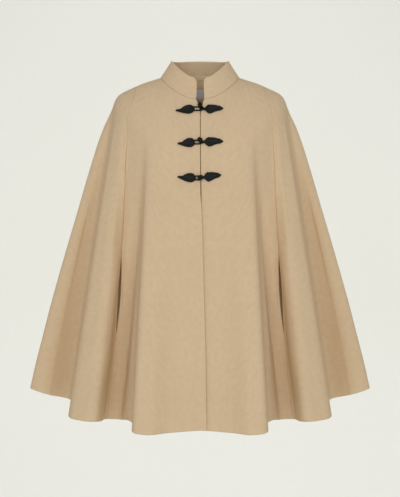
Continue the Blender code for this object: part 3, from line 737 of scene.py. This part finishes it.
def add_sheet(name, middle, outward, thickness, roundings):
    """Cloth of the thickness and with round edges, its middle on the rows of points."""
    piece, at_row, at_column = add_grid(name, middle, outward)
    weights = edge_weights(middle, roundings)[at_row, at_column]
    group = piece.vertex_groups.new(name="thickness")
    for index, weight in enumerate(weights):
        group.add([index], float(weight), "REPLACE")
    solidify = piece.modifiers.new("Solidify", "SOLIDIFY")
    solidify.thickness = thickness
    solidify.offset = 0.0
    solidify.vertex_group = group.name
    solidify.thickness_vertex_group = 0.02
    solidify.use_even_offset = True
    apply_modifiers(piece)
    piece.vertex_groups.clear()
    return piece


def add_panel(panel, side, node, shares, seams, material, settings):
    """A panel with its hem turned up and its seam allowances pressed open, in place of its CAD node."""
    name = node + "_cloth"
    middle, metres_per_row = hem_rows(panel, side, shares, settings)
    outward = middle - middle.mean(axis=(0, 1)) * [1, 1, 0]
    outward[PANEL_ROWS + len(NECK_STEPS) - 1 :] = 0
    roundings = (NECK_ROUND, EDGE_ROUND, EDGE_ROUND, EDGE_ROUND)
    pieces = [add_sheet(name, middle, outward, settings.cloth, roundings)]
    last_row = 1 - (settings.hem_turn + 0.001) / metres_per_row
    thin = ALLOWANCE_THINNER * settings.cloth
    for seam, inward in seams:
        strip = allowance_grid(panel, side, seam, inward, last_row, settings)
        pieces.append(add_sheet(name + "_allowance", strip, strip * [1, 1, 0], thin, 4 * [ALLOWANCE_ROUND]))
    return in_place_of(node, in_material(joined(pieces), material), CLOTH_SMOOTH)


def collar_points():
    """The collar's outer face, one row for each height from the rim to the neck seam, and the outward
    directions there."""
    first, last = neck_ends()
    metres_around = form_point(0.01, 0.0)[0] / 0.01
    corner = RIM_CORNER * (1 - np.cos(np.linspace(0, np.pi / 2, 14))) / metres_around
    middle = np.linspace(first + corner[-1], last - corner[-1], COLLAR_COLUMNS)[1:-1]
    arounds = np.concatenate([first + corner, middle, (last - corner)[::-1]])
    near_rim = 1 - np.array([0.0, 0.003, 0.010, 0.022, 0.040, 0.062])
    near_foot = np.array([0.055, 0.034, 0.018, 0.006, 0.0])
    rows = np.concatenate([near_rim, np.linspace(near_rim[-1], near_foot[0], COLLAR_ROWS)[1:-1], near_foot])
    around, up = np.meshgrid(arounds, rows)
    across = collar_point(around + 0.003, up, 0.0) - collar_point(around - 0.003, up, 0.0)
    upwards = collar_point(around, up + 0.01, 0.0) - collar_point(around, up - 0.01, 0.0)
    return collar_point(around, up, RIM_CORNER), unit(np.cross(across, upwards))


def collar_point(around, up, rim_corner):
    """A point of the collar's outer face. up is 0 at the neck seam and 1 at the rim."""
    side = np.where(around > 1, -1.0, 1.0)
    half = np.where(around > 1, 2 - around, around)
    foot = form_point(half, 0.0)
    foot[..., 2] += NECK_GAP
    angle = np.pi * half
    to_front = np.cos(angle)
    ahead = to_front > 0
    end_z = np.where(ahead, RIM_FRONT_Z, RIM_BACK_Z)
    x = RIM_HALF_WIDTH * np.sin(angle)
    y = -np.where(ahead, RIM_FRONT, RIM_BACK) * to_front
    z = RIM_SIDE_Z + (end_z - RIM_SIDE_Z) * np.abs(to_front) ** DROOP
    # The front edges stand parallel, so the rim's ends are as far apart as the seam's.
    ends = eased(1 - half / 0.18)
    x = x * (1 - ends) + foot[..., 0] * ends
    from_end = np.clip(np.abs(foot[..., 0]) - abs(FRONT_EDGES[0].right_x), 0, rim_corner)
    corner = rim_corner - np.sqrt(rim_corner**2 - (rim_corner - from_end) ** 2)
    z = z - np.where(half < 0.25, corner, 0)
    rim = np.stack([x, y, z], axis=-1)
    point = foot + (rim - foot) * up[..., None]
    sink = COLLAR_HOLLOW * 4 * up * (1 - up)
    point[..., 1] += sink * to_front
    point[..., 0] -= sink * np.sin(angle)
    point[..., 0] *= side
    return point


# Fastenings: twisted cord


def lengths_along(path):
    """How far along the path each of its points lies."""
    return np.concatenate([[0], np.cumsum(np.linalg.norm(np.diff(path, axis=0), axis=1))])


def resampled(path, spacing, closed=False):
    """The path with points evenly spaced along it."""
    if closed:
        path = np.concatenate([path, path[:1]])
    lengths = lengths_along(path)
    count = max(8, int(round(lengths[-1] / spacing)))
    at = np.linspace(0, lengths[-1], count + 1)
    return np.stack([np.interp(at, lengths, path[:, axis]) for axis in range(path.shape[1])], axis=-1)


def add_twisted_cord(name, path, radius, settings, closed=False, starting=0.0):
    """A two-ply twisted cord along the path, with rounded ends unless it is closed."""
    path = resampled(np.asarray(path), settings.cord_step, closed)
    tangents = unit(np.gradient(path, axis=0))
    if closed:
        tangents[0] = tangents[-1] = unit(path[1] - path[-2])
    reference = np.array([0.0, -1.0, 0.0])
    side = unit(np.cross(tangents, reference))
    up = np.cross(side, tangents)
    lengths = lengths_along(path)
    turns = lengths[-1] / settings.cord_twist
    if closed:
        turns = max(1, round(turns))
    phase = 2 * np.pi * (turns * lengths / lengths[-1]) + starting
    angle = np.linspace(0, 2 * np.pi, CORD_SIDES + 1)
    core, plies = CORD_LOBES
    size = radius * (core + plies * np.cos(angle[None, :] - phase[:, None] / 2) ** 2)
    if not closed:
        from_end = np.minimum(lengths, lengths[-1] - lengths)
        cap = np.sqrt(np.clip(1 - (1 - np.clip(from_end / radius, 0, 1)) ** 2, 0.0, 1))
        size = size * np.maximum(cap, 0.02)[:, None]
    points = (
        path[:, None, :]
        + size[..., None] * np.cos(angle)[None, :, None] * side[:, None, :]
        + size[..., None] * np.sin(angle)[None, :, None] * up[:, None, :]
    )
    piece, _, _ = add_grid(name, points, points - path[:, None, :])
    choose(piece)
    bpy.ops.object.mode_set(mode="EDIT")
    bpy.ops.mesh.select_all(action="SELECT")
    bpy.ops.mesh.remove_doubles(threshold=0.00002)
    if not closed:
        bpy.ops.mesh.select_all(action="DESELECT")
        bpy.ops.mesh.select_mode(type="EDGE")
        bpy.ops.mesh.select_non_manifold()
        bpy.ops.mesh.edge_face_add()
    bpy.ops.mesh.select_all(action="SELECT")
    bpy.ops.mesh.normals_make_consistent(inside=False)
    bpy.ops.object.mode_set(mode="OBJECT")
    return piece


def wing_frame(root, tip):
    """A wing's root, its length and the directions along and across it, in x and z."""
    root = np.array(root)
    heading = np.array(tip) - root
    length = np.linalg.norm(heading)
    heading = heading / length
    upward = np.array([-heading[1], heading[0]])
    return root, length, heading, upward if upward[1] > 0 else -upward


def wing_half_width(places, along, above):
    return curve_through(column(places, "along"), column(places, "above" if above else "below"), along)


def wing_loop_path(side, places, root, tip, loop, settings):
    """One nested loop of a wing, out to the tip along the top and back along the bottom."""
    root, length, heading, upward = wing_frame(root, tip)
    turn = np.linspace(0, np.pi, 90)
    spread = (1 - np.cos(turn)) / 2
    path = []
    for above in (True, False):
        share = spread if above else 1 - spread
        along = loop.starts + (loop.ends - loop.starts) * share
        half = wing_half_width(places, along, above) - loop.inset
        across = np.maximum(half, WING_TIP) * np.sqrt(np.clip(1 - np.abs(2 * share - 1) ** 11, 0, 1))
        across = across + WING_SAG * np.sin(along * 2 * np.pi * 5.5) * (half > 0.002)
        across = across if above else -across
        path.append(np.stack([along, across], axis=-1)[:-1])
    path = np.concatenate(path)
    place = root + heading * (path[:, :1] * length) + upward * path[:, 1:]
    out = WING_SITS + settings.cord_radius + loop.rise
    return front_surface(side, place[:, 0], place[:, 1], out)


def add_wing(name, side, places, loops, root, tip, cord, backing, settings):
    """Nested loops of cord, sewn down on a thin backing."""
    pieces = []
    thick = settings.cord_radius
    for number, loop in enumerate(loops):
        path = wing_loop_path(side, places, root, tip, loop, settings)
        ring = add_twisted_cord(name, path, thick, settings, closed=True, starting=1.7 * number)
        pieces.append(in_material(ring, cord))
    start, length, heading, upward = wing_frame(root, tip)
    across, along = np.meshgrid(np.linspace(-1, 1, 9), np.linspace(0.03, 0.93, 24))
    above, below = (wing_half_width(places, along, upper) for upper in (True, False))
    half = np.maximum(np.where(across > 0, above, below) - WING_BACKING, 0.0003)
    place = start + heading * along[..., None] * length + upward * (across * half)[..., None]
    middle = front_surface(side, place[..., 0], place[..., 1], WING_SITS + 0.0010)
    forward = np.broadcast_to([0.0, -1.0, 0.0], middle.shape)
    patch = add_sheet(name + "_backing", middle, forward, WING_BACKING, 4 * [0.0005])
    piece = joined(pieces + [in_material(patch, backing)])
    piece.name = piece.data.name = name
    return piece


def loop_path(frog):
    """The doubled cord, from its wing round the ball's foot and back."""
    start = frog.loop_root_x - 0.0022
    end = frog.ball_x + LOOP_REACH
    bend = end - LOOP_HALF_WIDTH
    straight = np.linspace(start, bend, 24)
    turn = np.linspace(np.pi / 2, -np.pi / 2, 25)[1:-1]
    x = np.concatenate([straight, bend + LOOP_HALF_WIDTH * np.cos(turn), straight[::-1]])
    across = np.concatenate([np.ones(24), np.sin(turn), -np.ones(24)])
    rise = eased((x - frog.ball_x) / (end - frog.ball_x))
    out = LOOP_SITS + (LOOP_END_SITS - LOOP_SITS) * rise
    slope = (frog.knot_root_z - frog.loop_root_z) / (frog.knot_root_x - frog.loop_root_x)
    z = frog.loop_root_z + slope * (x - frog.loop_root_x) + LOOP_HALF_WIDTH * across
    return over_front(x, z, out)


def knot_cord_paths(frog, radius):
    """The two strands from the wing, side by side under the loop's end and up into the ball."""
    start = np.array([frog.knot_root_x + 0.0030, frog.knot_root_z, KNOT_CORD_SITS])
    share = (frog.ball_x - frog.loop_root_x) / (frog.knot_root_x - frog.loop_root_x)
    axis_z = frog.loop_root_z + (frog.knot_root_z - frog.loop_root_z) * share
    lean = frog.ball_z - axis_z
    foot = np.array([frog.ball_x + 0.0026, axis_z, KNOT_CORD_SITS])
    bend = np.array([frog.ball_x + 0.0003, axis_z + 0.05 * lean, KNOT_CORD_SITS + 0.0013])
    ball = np.array([frog.ball_x, frog.ball_z, BALL_HEIGHT])
    route = np.array([start, foot, bend, ball])
    at = np.linspace(0, 1, 40)
    x, z, out = [curve_through([0, 0.55, 0.82, 1], route[:, axis], at) for axis in range(3)]
    apart = radius * (1 - 0.65 * eased((at - 0.45) / 0.3))
    return [over_front(x, z + sign * apart, out) for sign in (1, -1)]


def knot_path(turns_round, turns_over, radius, rise):
    """A cord woven over and under itself round a ball, centred on the origin."""
    t = np.linspace(0, 2 * np.pi, 400, endpoint=False)
    longitude = turns_round * t
    latitude = math.radians(62) * np.sin(turns_over * t)
    size = radius + rise * np.cos(2 * turns_over * t + 0.5 * np.pi)
    flat = size * np.cos(latitude)
    return np.stack([flat * np.cos(longitude), flat * np.sin(longitude), size * np.sin(latitude)], axis=-1)


# Materials


def linear(code):
    """An sRGB hex colour as linear RGBA."""
    parts = [int(code[i : i + 2], 16) / 255 for i in (1, 3, 5)]
    return (*[c / 12.92 if c <= 0.04045 else ((c + 0.055) / 1.055) ** 2.4 for c in parts], 1.0)


def add_node(tree, kind, inputs, **attributes):
    """Adds a node with its attributes set, and each input given its value or linked from a socket."""
    node = tree.nodes.new(kind)
    for name, value in attributes.items():
        setattr(node, name, value)
    for name, value in inputs.items():
        if isinstance(value, bpy.types.NodeSocket):
            tree.links.new(value, node.inputs[name])
        else:
            node.inputs[name].default_value = value
    return node


def new_material(name):
    """An empty material and its nodes."""
    material = bpy.data.materials.new(name)
    material.use_nodes = True
    material.node_tree.nodes.clear()
    return material, material.node_tree


def finish_material(tree, inputs):
    """The shader, with its inputs, and the output."""
    shader = add_node(tree, "ShaderNodeBsdfPrincipled", inputs)
    add_node(tree, "ShaderNodeOutputMaterial", {"Surface": shader.outputs["BSDF"]})


def per_metre(millimetres):
    """The scale at which a pattern in metres has features of this many millimetres."""
    return 1000.0 / millimetres


def napped_wool(settings):
    """Camel-coloured wool coating, milled and brushed to a short nap. The nap hides the weave, so the eye
    gets a soft matt face, slightly blotched where the fibres lie differently, and pale at grazing angles."""
    material, tree = new_material("camel_wool_coating")
    cloth = add_node(tree, "ShaderNodeUVMap", {}).outputs["UV"]
    # The nap lies down the cloth, in tufts about 1.5 mm by 6 mm.
    tuft_size = (per_metre(1.5), per_metre(6.0), 1.0)
    nap = add_node(tree, "ShaderNodeMapping", {"Vector": cloth, "Scale": tuft_size}).outputs["Vector"]
    patterns = []
    layers = ((nap, 1.0, 4.0), (cloth, per_metre(11.0), 3.0), (cloth, per_metre(90.0), 1.0))
    for place, scale, detail in layers:
        noise = {"Vector": place, "Scale": scale, "Detail": detail}
        patterns.append(add_node(tree, "ShaderNodeTexNoise", noise).outputs["Fac"])
    tufts, blotches, drift = patterns
    shade = add_node(tree, "ShaderNodeMath", {0: drift, 1: 0.20}, operation="MULTIPLY").outputs[0]
    for pattern, share in ((tufts, 0.25), (blotches, 0.55)):
        added = {0: pattern, 1: share, 2: shade}
        shade = add_node(tree, "ShaderNodeMath", added, operation="MULTIPLY_ADD").outputs[0]
    tone = add_node(tree, "ShaderNodeMapRange", {"Value": shade, "From Min": 0.36, "From Max": 0.64})
    tones = {"Factor": tone.outputs[0], 6: linear(settings.wool_dark), 7: linear(settings.wool_light)}
    colour = add_node(tree, "ShaderNodeMix", tones, data_type="RGBA")
    height = add_node(tree, "ShaderNodeMath", {0: tufts, 1: 0.6, 2: blotches}, operation="MULTIPLY_ADD")
    relief = {"Height": height.outputs[0], "Strength": 0.22, "Distance": 0.0004}
    bump = add_node(tree, "ShaderNodeBump", relief)
    finish_material(tree, {
        "Base Color": colour.outputs[2],
        "Normal": bump.outputs["Normal"],
        "Roughness": 0.95,
        "Specular IOR Level": 0.15,
        "Sheen Weight": 0.12,
        "Sheen Roughness": 0.55,
        "Sheen Tint": linear(settings.wool_light),
    })
    return material


def twisted_rayon(settings):
    """Black twisted rayon cord. Its strands are smooth and tightly laid, so the eye gets soft grey lights
    along the tops of the twists."""
    material, tree = new_material("black_rayon_cord")
    along = add_node(tree, "ShaderNodeUVMap", {}).outputs["UV"]
    # Yarns in the cord are about 0.3 mm wide and lie at a slant. They are drawn at 0.6 mm to show at all.
    yarn_size = (per_metre(0.6), per_metre(0.6), 1.0)
    laid = {"Vector": along, "Rotation": (0.0, 0.0, math.radians(32)), "Scale": yarn_size}
    slant = add_node(tree, "ShaderNodeMapping", laid).outputs["Vector"]
    waves = {"Vector": slant, "Scale": 0.16, "Distortion": 0.6, "Detail": 1.0}
    yarns = add_node(tree, "ShaderNodeTexWave", waves).outputs["Fac"]
    tones = {"Factor": yarns, 6: linear("#08080A"), 7: linear(settings.cord_colour)}
    colour = add_node(tree, "ShaderNodeMix", tones, data_type="RGBA")
    bump = add_node(tree, "ShaderNodeBump", {"Height": yarns, "Strength": 0.3, "Distance": 0.0002})
    finish_material(tree, {
        "Base Color": colour.outputs[2],
        "Normal": bump.outputs["Normal"],
        "Roughness": 0.45,
        "Specular IOR Level": 0.3,
    })
    return material


def black_felt():
    """Thin black felt behind the corded wings: matt and slightly uneven."""
    material, tree = new_material("black_felt")
    place = add_node(tree, "ShaderNodeUVMap", {}).outputs["UV"]
    fibres = add_node(tree, "ShaderNodeTexNoise", {"Vector": place, "Scale": per_metre(1.2), "Detail": 3.0})
    tones = {"Factor": fibres.outputs["Fac"], 6: linear("#08080A"), 7: linear("#151517")}
    colour = add_node(tree, "ShaderNodeMix", tones, data_type="RGBA")
    finish_material(tree, {"Base Color": colour.outputs[2], "Roughness": 0.95})
    return material


def label_taffeta(settings):
    """White woven label taffeta: a close flat weave with a slight gloss. Its threads are 0.2 mm apart, and
    are drawn at 0.8 mm so that the weave shows."""
    material, tree = new_material("white_label_taffeta")
    place = add_node(tree, "ShaderNodeUVMap", {}).outputs["UV"]
    threads = add_node(tree, "ShaderNodeTexBrick", {
        "Vector": place,
        "Scale": per_metre(0.8),
        "Color1": linear(settings.label_colour),
        "Color2": linear("#E6E7EA"),
        "Mortar": linear("#CFD0D4"),
        "Mortar Size": 0.06,
        "Brick Width": 1.0,
        "Row Height": 0.5,
    })
    relief = {"Height": threads.outputs["Fac"], "Strength": 0.2, "Distance": -0.0001}
    bump = add_node(tree, "ShaderNodeBump", relief)
    finish_material(tree, {
        "Base Color": threads.outputs["Color"],
        "Normal": bump.outputs["Normal"],
        "Roughness": 0.6,
    })
    return material


def studio_paper(settings):
    """Seamless background paper: matt, even and pale, with a faint tooth."""
    material, tree = new_material("studio_background_paper")
    place = add_node(tree, "ShaderNodeTexCoord", {}).outputs["Object"]
    tooth = add_node(tree, "ShaderNodeTexNoise", {"Vector": place, "Scale": per_metre(40.0), "Detail": 2.0})
    tones = {"Factor": tooth.outputs["Fac"], 6: linear(settings.paper_dark), 7: linear(settings.paper_light)}
    colour = add_node(tree, "ShaderNodeMix", tones, data_type="RGBA")
    finish_material(tree, {"Base Color": colour.outputs[2], "Roughness": 1.0, "Specular IOR Level": 0.0})
    return material


def material_of(name, make, *given):
    """The material, made the first time that it is asked for."""
    return bpy.data.materials.get(name) or make(*given)


# Settings


def length_setting(name, description, default, smallest, largest, precision=4):
    return FloatProperty(
        name=name, description=description, default=default, min=smallest, max=largest, unit="LENGTH",
        precision=precision,
    )


def colour_setting(name, description, default):
    return StringProperty(name=name, description="sRGB colour of " + description, default=default)


class CapeClothSettings(bpy.types.PropertyGroup):
    cloth: length_setting("Cloth", "Thickness of the wool cloth", 0.0022, 0.001, 0.004)
    collar_cloth: length_setting("Collar", "Thickness of the collar's two layers", 0.0036, 0.002, 0.006)
    hem_turn: length_setting("Hem", "Height of the cloth turned up inside the hem", HEM_TURN, 0.01, 0.06)
    seam_allowance: length_setting(
        "Seam allowance", "Width of the cloth pressed open inside each seam", SEAM_ALLOWANCE, 0.004, 0.02
    )
    wool_light: colour_setting("Light wool", "the nap's lighter tone", "#D6BE9C")
    wool_dark: colour_setting("Dark wool", "the nap's darker tone", "#D0B694")
    label_colour: colour_setting("Label", "the label", "#F4F5F8")


class CapeCordSettings(bpy.types.PropertyGroup):
    cord_radius: length_setting("Cord radius", "Radius of the wings' and loops' cord", 0.0017, 0.0005, 0.003)
    cord_twist: length_setting("Twist", "Length of cord in which a ply goes round once", 0.0036, 0.001, 0.02)
    cord_step: length_setting("Step", "Spacing of the points along the cord", 0.00045, 0.0002, 0.002, 5)
    ball_radius: length_setting("Ball", "Radius of the ball knots", 0.0052, 0.003, 0.008)
    cord_colour: colour_setting("Cord", "the cord", "#08080A")


class CapeStageSettings(bpy.types.PropertyGroup):
    floor: length_setting("Floor", "Height of the floor", -2.05, -4.0, -0.8)
    camera_distance: length_setting("Camera distance", "Metres from the camera to the cape", 2.6, 1.0, 10.0)
    camera_height: length_setting("Camera height", "Height of the camera", CAPE_MIDDLE[2], -2.0, 2.0)
    paper_light: colour_setting("Light paper", "the paper", "#F0F0E9")
    paper_dark: colour_setting("Dark paper", "the paper's tooth", "#EEEEE7")


# Operators


class CAPE_OT_add_fronts(bpy.types.Operator):
    """The two front panels, cut to the front edge, neck, shoulder and front seam"""

    bl_idname = "cape.add_fronts"
    bl_label = "Front panels"

    def execute(self, context):
        settings = context.scene.cape_cloth
        wool = material_of("camel_wool_coating", napped_wool, settings)
        shares = with_edge_steps(column_shares(0.0, FRONT_SEAM, FRONT_COLUMNS), FRONT_WIDTH)
        shares[np.argmin(np.abs(shares - NECK_SHARE))] = NECK_SHARE
        for node, side in (("front_left", 1), ("front_right", -1)):
            piece = add_panel("front", side, node, shares, [(1.0, -1)], wool, settings)
        return {"FINISHED"}


class CAPE_OT_add_sides(bpy.types.Operator):
    """The two side panels, which widen from the shoulder points to the hem"""

    bl_idname = "cape.add_sides"
    bl_label = "Side panels"

    def execute(self, context):
        settings = context.scene.cape_cloth
        wool = material_of("camel_wool_coating", napped_wool, settings)
        shares = with_edge_steps(column_shares(FRONT_SEAM, BACK_SEAM, SIDE_COLUMNS), SIDE_WIDTH)
        for node, side in (("side_left", 1), ("side_right", -1)):
            piece = add_panel("side", side, node, shares, [(0.0, 1), (1.0, -1)], wool, settings)
        return {"FINISHED"}


class CAPE_OT_add_back(bpy.types.Operator):
    """The back panel, in one piece"""

    bl_idname = "cape.add_back"
    bl_label = "Back panel"

    def execute(self, context):
        settings = context.scene.cape_cloth
        wool = material_of("camel_wool_coating", napped_wool, settings)
        half = with_edge_steps(column_shares(1.0, BACK_SEAM, BACK_COLUMNS), BACK_WIDTH, first=False)
        half[np.argmin(np.abs(half - NECK_SHARE))] = NECK_SHARE
        shares = np.concatenate([-half[:0:-1], half])
        piece = add_panel("back", 1, "back", shares, [(-1.0, 1), (1.0, -1)], wool, settings)
        return {"FINISHED"}


class CAPE_OT_add_collar(bpy.types.Operator):
    """The stand collar, two layers sewn together round the rim and the rounded front corners"""

    bl_idname = "cape.add_collar"
    bl_label = "Stand collar"

    def execute(self, context):
        settings = context.scene.cape_cloth
        wool = material_of("camel_wool_coating", napped_wool, settings)
        outer, normals = collar_points()
        middle = outer - normals * settings.collar_cloth / 2
        round_edge = settings.collar_cloth / 2
        roundings = (round_edge, NECK_ROUND, round_edge, round_edge)
        piece = add_sheet("collar_cloth", middle, normals, settings.collar_cloth, roundings)
        strip = neck_allowance_points(settings)
        thin = NECK_THINNER * settings.cloth
        strip = add_sheet("neck_allowance", strip, strip * [1, 1, 0], thin, 4 * [ALLOWANCE_ROUND])
        in_place_of("collar", in_material(joined([piece, strip]), wool), CLOTH_SMOOTH)
        return {"FINISHED"}


class CAPE_OT_add_label(bpy.types.Operator):
    """The plain woven label, stitched inside the back panel at both ends"""

    bl_idname = "cape.add_label"
    bl_label = "Neck label"

    def execute(self, context):
        settings = context.scene.cape_cloth
        taffeta = material_of("white_label_taffeta", label_taffeta, settings)
        across = np.linspace(-LABEL_WIDTH / 2, LABEL_WIDTH / 2, LABEL_COLUMNS)
        x, z = np.meshgrid(across, np.linspace(LABEL_TOP, LABEL_BOTTOM, LABEL_ROWS))
        out = -settings.cloth - LABEL_SITS - LABEL_CLOTH / 2
        middle = cape_surface(x, z, out, 1.0)
        forward = np.broadcast_to([0.0, -1.0, 0.0], middle.shape)
        label = add_sheet("neck_label_weave", middle, forward, LABEL_CLOTH, 4 * [LABEL_CLOTH / 2])
        in_place_of("neck_label", in_material(label, taffeta), CLOTH_SMOOTH)
        return {"FINISHED"}


class CAPE_OT_add_wings(bpy.types.Operator):
    """The six corded wings of the fastenings"""

    bl_idname = "cape.add_wings"
    bl_label = "Corded wings"

    def execute(self, context):
        settings = context.scene.cape_cord
        cord = material_of("black_rayon_cord", twisted_rayon, settings)
        felt = material_of("black_felt", black_felt)
        for frog in FROGS:
            loop_root, loop_tip = (frog.loop_root_x, frog.loop_root_z), (frog.loop_tip_x, frog.loop_tip_z)
            knot_root, knot_tip = (frog.knot_root_x, frog.knot_root_z), (frog.knot_tip_x, frog.knot_tip_z)
            for node, side, places, loops, root, tip in (
                (frog.name + "_loop_wing", -1, LOOP_WING, LOOP_WING_LOOPS, loop_root, loop_tip),
                (frog.name + "_knot_wing", 1, KNOT_WING, KNOT_WING_LOOPS, knot_root, knot_tip),
            ):
                piece = add_wing(node + "_cords", side, places, loops, root, tip, cord, felt, settings)
                in_place_of(node, piece, CORD_SMOOTH)
        return {"FINISHED"}


class CAPE_OT_add_loops(bpy.types.Operator):
    """The doubled cord of each fastening that goes round its ball knot"""

    bl_idname = "cape.add_loops"
    bl_label = "Cord loops"

    def execute(self, context):
        settings = context.scene.cape_cord
        cord = material_of("black_rayon_cord", twisted_rayon, settings)
        for frog in FROGS:
            path = loop_path(frog)
            piece = add_twisted_cord(frog.name + "_loop_cord", path, settings.cord_radius, settings)
            in_place_of(frog.name + "_loop", in_material(piece, cord), CORD_SMOOTH)
        return {"FINISHED"}


class CAPE_OT_add_ball_knots(bpy.types.Operator):
    """The ball knots, each tied in cord over a core, and the two strands that hold it"""

    bl_idname = "cape.add_ball_knots"
    bl_label = "Ball knots"

    def execute(self, context):
        settings = context.scene.cape_cord
        cord = material_of("black_rayon_cord", twisted_rayon, settings)
        size = settings.ball_radius
        # The knot goes round three times and over four, on a core that it hides.
        knot = knot_path(3, 4, size - 0.9 * BALL_STRAND, 0.25 * BALL_STRAND)
        tilt = np.array(Vector((0.3, -1.0, 0.25)).to_track_quat("Z", "X").to_matrix())
        for frog in FROGS:
            centre = over_front(np.array([frog.ball_x]), np.array([frog.ball_z]), np.array([BALL_HEIGHT]))[0]
            path = knot @ tilt.T + centre
            ball = add_twisted_cord(frog.name + "_ball_cord", path, BALL_STRAND, settings, closed=True)
            bpy.ops.object.select_all(action="DESELECT")
            bpy.ops.mesh.primitive_ico_sphere_add(subdivisions=3, radius=size - 1.2 * BALL_STRAND)
            core = bpy.context.object
            core.data.transform(Matrix.Translation(Vector(centre)))
            in_place_of(frog.name + "_ball", in_material(joined([ball, core]), cord), CORD_SMOOTH)
            strands = [
                add_twisted_cord(frog.name + "_knot_strands", path, BALL_STRAND, settings, starting=number)
                for number, path in enumerate(knot_cord_paths(frog, BALL_STRAND))
            ]
            in_place_of(frog.name + "_knot_cord", in_material(joined(strands), cord), CORD_SMOOTH)
        return {"FINISHED"}


class CAPE_OT_add_stage(bpy.types.Operator):
    """The pale paper sweep, the soft lights and the camera"""

    bl_idname = "cape.add_stage"
    bl_label = "Stage"

    def execute(self, context):
        settings = context.scene.cape_stage
        paper = material_of("studio_background_paper", studio_paper, settings)
        bpy.ops.object.select_all(action="DESELECT")
        bpy.ops.mesh.primitive_plane_add(size=1.0)
        sweep = context.object
        sweep.name = sweep.data.name = "studio_sweep"
        bpy.ops.object.mode_set(mode="EDIT")
        bpy.ops.mesh.select_all(action="SELECT")
        bpy.ops.transform.resize(value=(SWEEP_WIDTH, SWEEP_DEPTH, 1.0))
        bpy.ops.transform.translate(value=(0.0, SWEEP_BACK, settings.floor))
        bpy.ops.object.mode_set(mode="OBJECT")
        for polygon in sweep.data.polygons:
            polygon.select = False
        for edge in sweep.data.edges:
            edge.select = min(sweep.data.vertices[i].co.y for i in edge.vertices) > 0
        for vertex in sweep.data.vertices:
            vertex.select = vertex.co.y > 0
        bpy.ops.object.mode_set(mode="EDIT")
        bpy.ops.mesh.extrude_region_move(TRANSFORM_OT_translate={"value": (0.0, 0.0, SWEEP_WALL)})
        bpy.ops.object.mode_set(mode="OBJECT")
        bevel = sweep.modifiers.new("Bevel", "BEVEL")
        bevel.width = SWEEP_BEND
        bevel.segments = SWEEP_BEND_STEPS
        apply_modifiers(sweep)
        smoothed(sweep, 40)
        sweep.data.materials.append(paper)

        world = bpy.data.worlds.new("soft_room")
        world.use_nodes = True
        background = world.node_tree.nodes["Background"]
        background.inputs["Color"].default_value = linear("#FFFFFF")
        background.inputs["Strength"].default_value = ROOM_LIGHT
        context.scene.world = world
        for row in STUDIO_LIGHTS:
            bpy.ops.object.light_add(type="AREA", location=row.place)
            light = context.object
            light.name = light.data.name = row.name
            light.data.shape = "SQUARE"
            light.data.size = row.size
            light.data.energy = row.power
            light.data.spread = math.radians(row.spread)
            light.visible_camera = False
            heading = Vector(row.aim) - Vector(row.place)
            light.rotation_euler = heading.to_track_quat("-Z", "Y").to_euler()
        place = (0.0, -settings.camera_distance, settings.camera_height)
        bpy.ops.object.camera_add(location=place, rotation=(math.pi / 2, 0.0, 0.0))
        camera = context.object
        camera.name = camera.data.name = "camera"
        camera.data.sensor_fit = "AUTO"
        camera.data.sensor_width = SENSOR
        camera.data.lens = SENSOR * settings.camera_distance / PICTURE_HEIGHT
        context.scene.camera = camera
        context.scene.view_settings.view_transform = "Standard"
        return {"FINISHED"}


OPERATORS = (
    CAPE_OT_add_fronts,
    CAPE_OT_add_sides,
    CAPE_OT_add_back,
    CAPE_OT_add_collar,
    CAPE_OT_add_label,
    CAPE_OT_add_wings,
    CAPE_OT_add_loops,
    CAPE_OT_add_ball_knots,
    CAPE_OT_add_stage,
)


class CAPE_PT_tools(bpy.types.Panel):
    """Lists the cape's settings and pieces"""

    bl_idname = "CAPE_PT_tools"
    bl_label = "Cape"
    bl_space_type = "VIEW_3D"
    bl_region_type = "UI"
    bl_category = "Cape"

    def draw(self, context):
        layout = self.layout
        for group in (context.scene.cape_cloth, context.scene.cape_cord, context.scene.cape_stage):
            box = layout.box()
            for name in group.__annotations__:
                box.prop(group, name)
        for operator in OPERATORS:
            layout.operator(operator.bl_idname)


CLASSES = (CapeClothSettings, CapeCordSettings, CapeStageSettings, *OPERATORS, CAPE_PT_tools)


def register():
    for item in CLASSES:
        bpy.utils.register_class(item)
    bpy.types.Scene.cape_cloth = PointerProperty(type=CapeClothSettings)
    bpy.types.Scene.cape_cord = PointerProperty(type=CapeCordSettings)
    bpy.types.Scene.cape_stage = PointerProperty(type=CapeStageSettings)


def unregister():
    del bpy.types.Scene.cape_stage
    del bpy.types.Scene.cape_cord
    del bpy.types.Scene.cape_cloth
    for item in reversed(CLASSES):
        bpy.utils.unregister_class(item)


def main():
    register()
    bpy.ops.cape.add_fronts()
    bpy.ops.cape.add_sides()
    bpy.ops.cape.add_back()
    bpy.ops.cape.add_collar()
    bpy.ops.cape.add_label()
    bpy.ops.cape.add_wings()
    bpy.ops.cape.add_loops()
    bpy.ops.cape.add_ball_knots()
    bpy.ops.cape.add_stage()


if __name__ == "__main__":
    main()
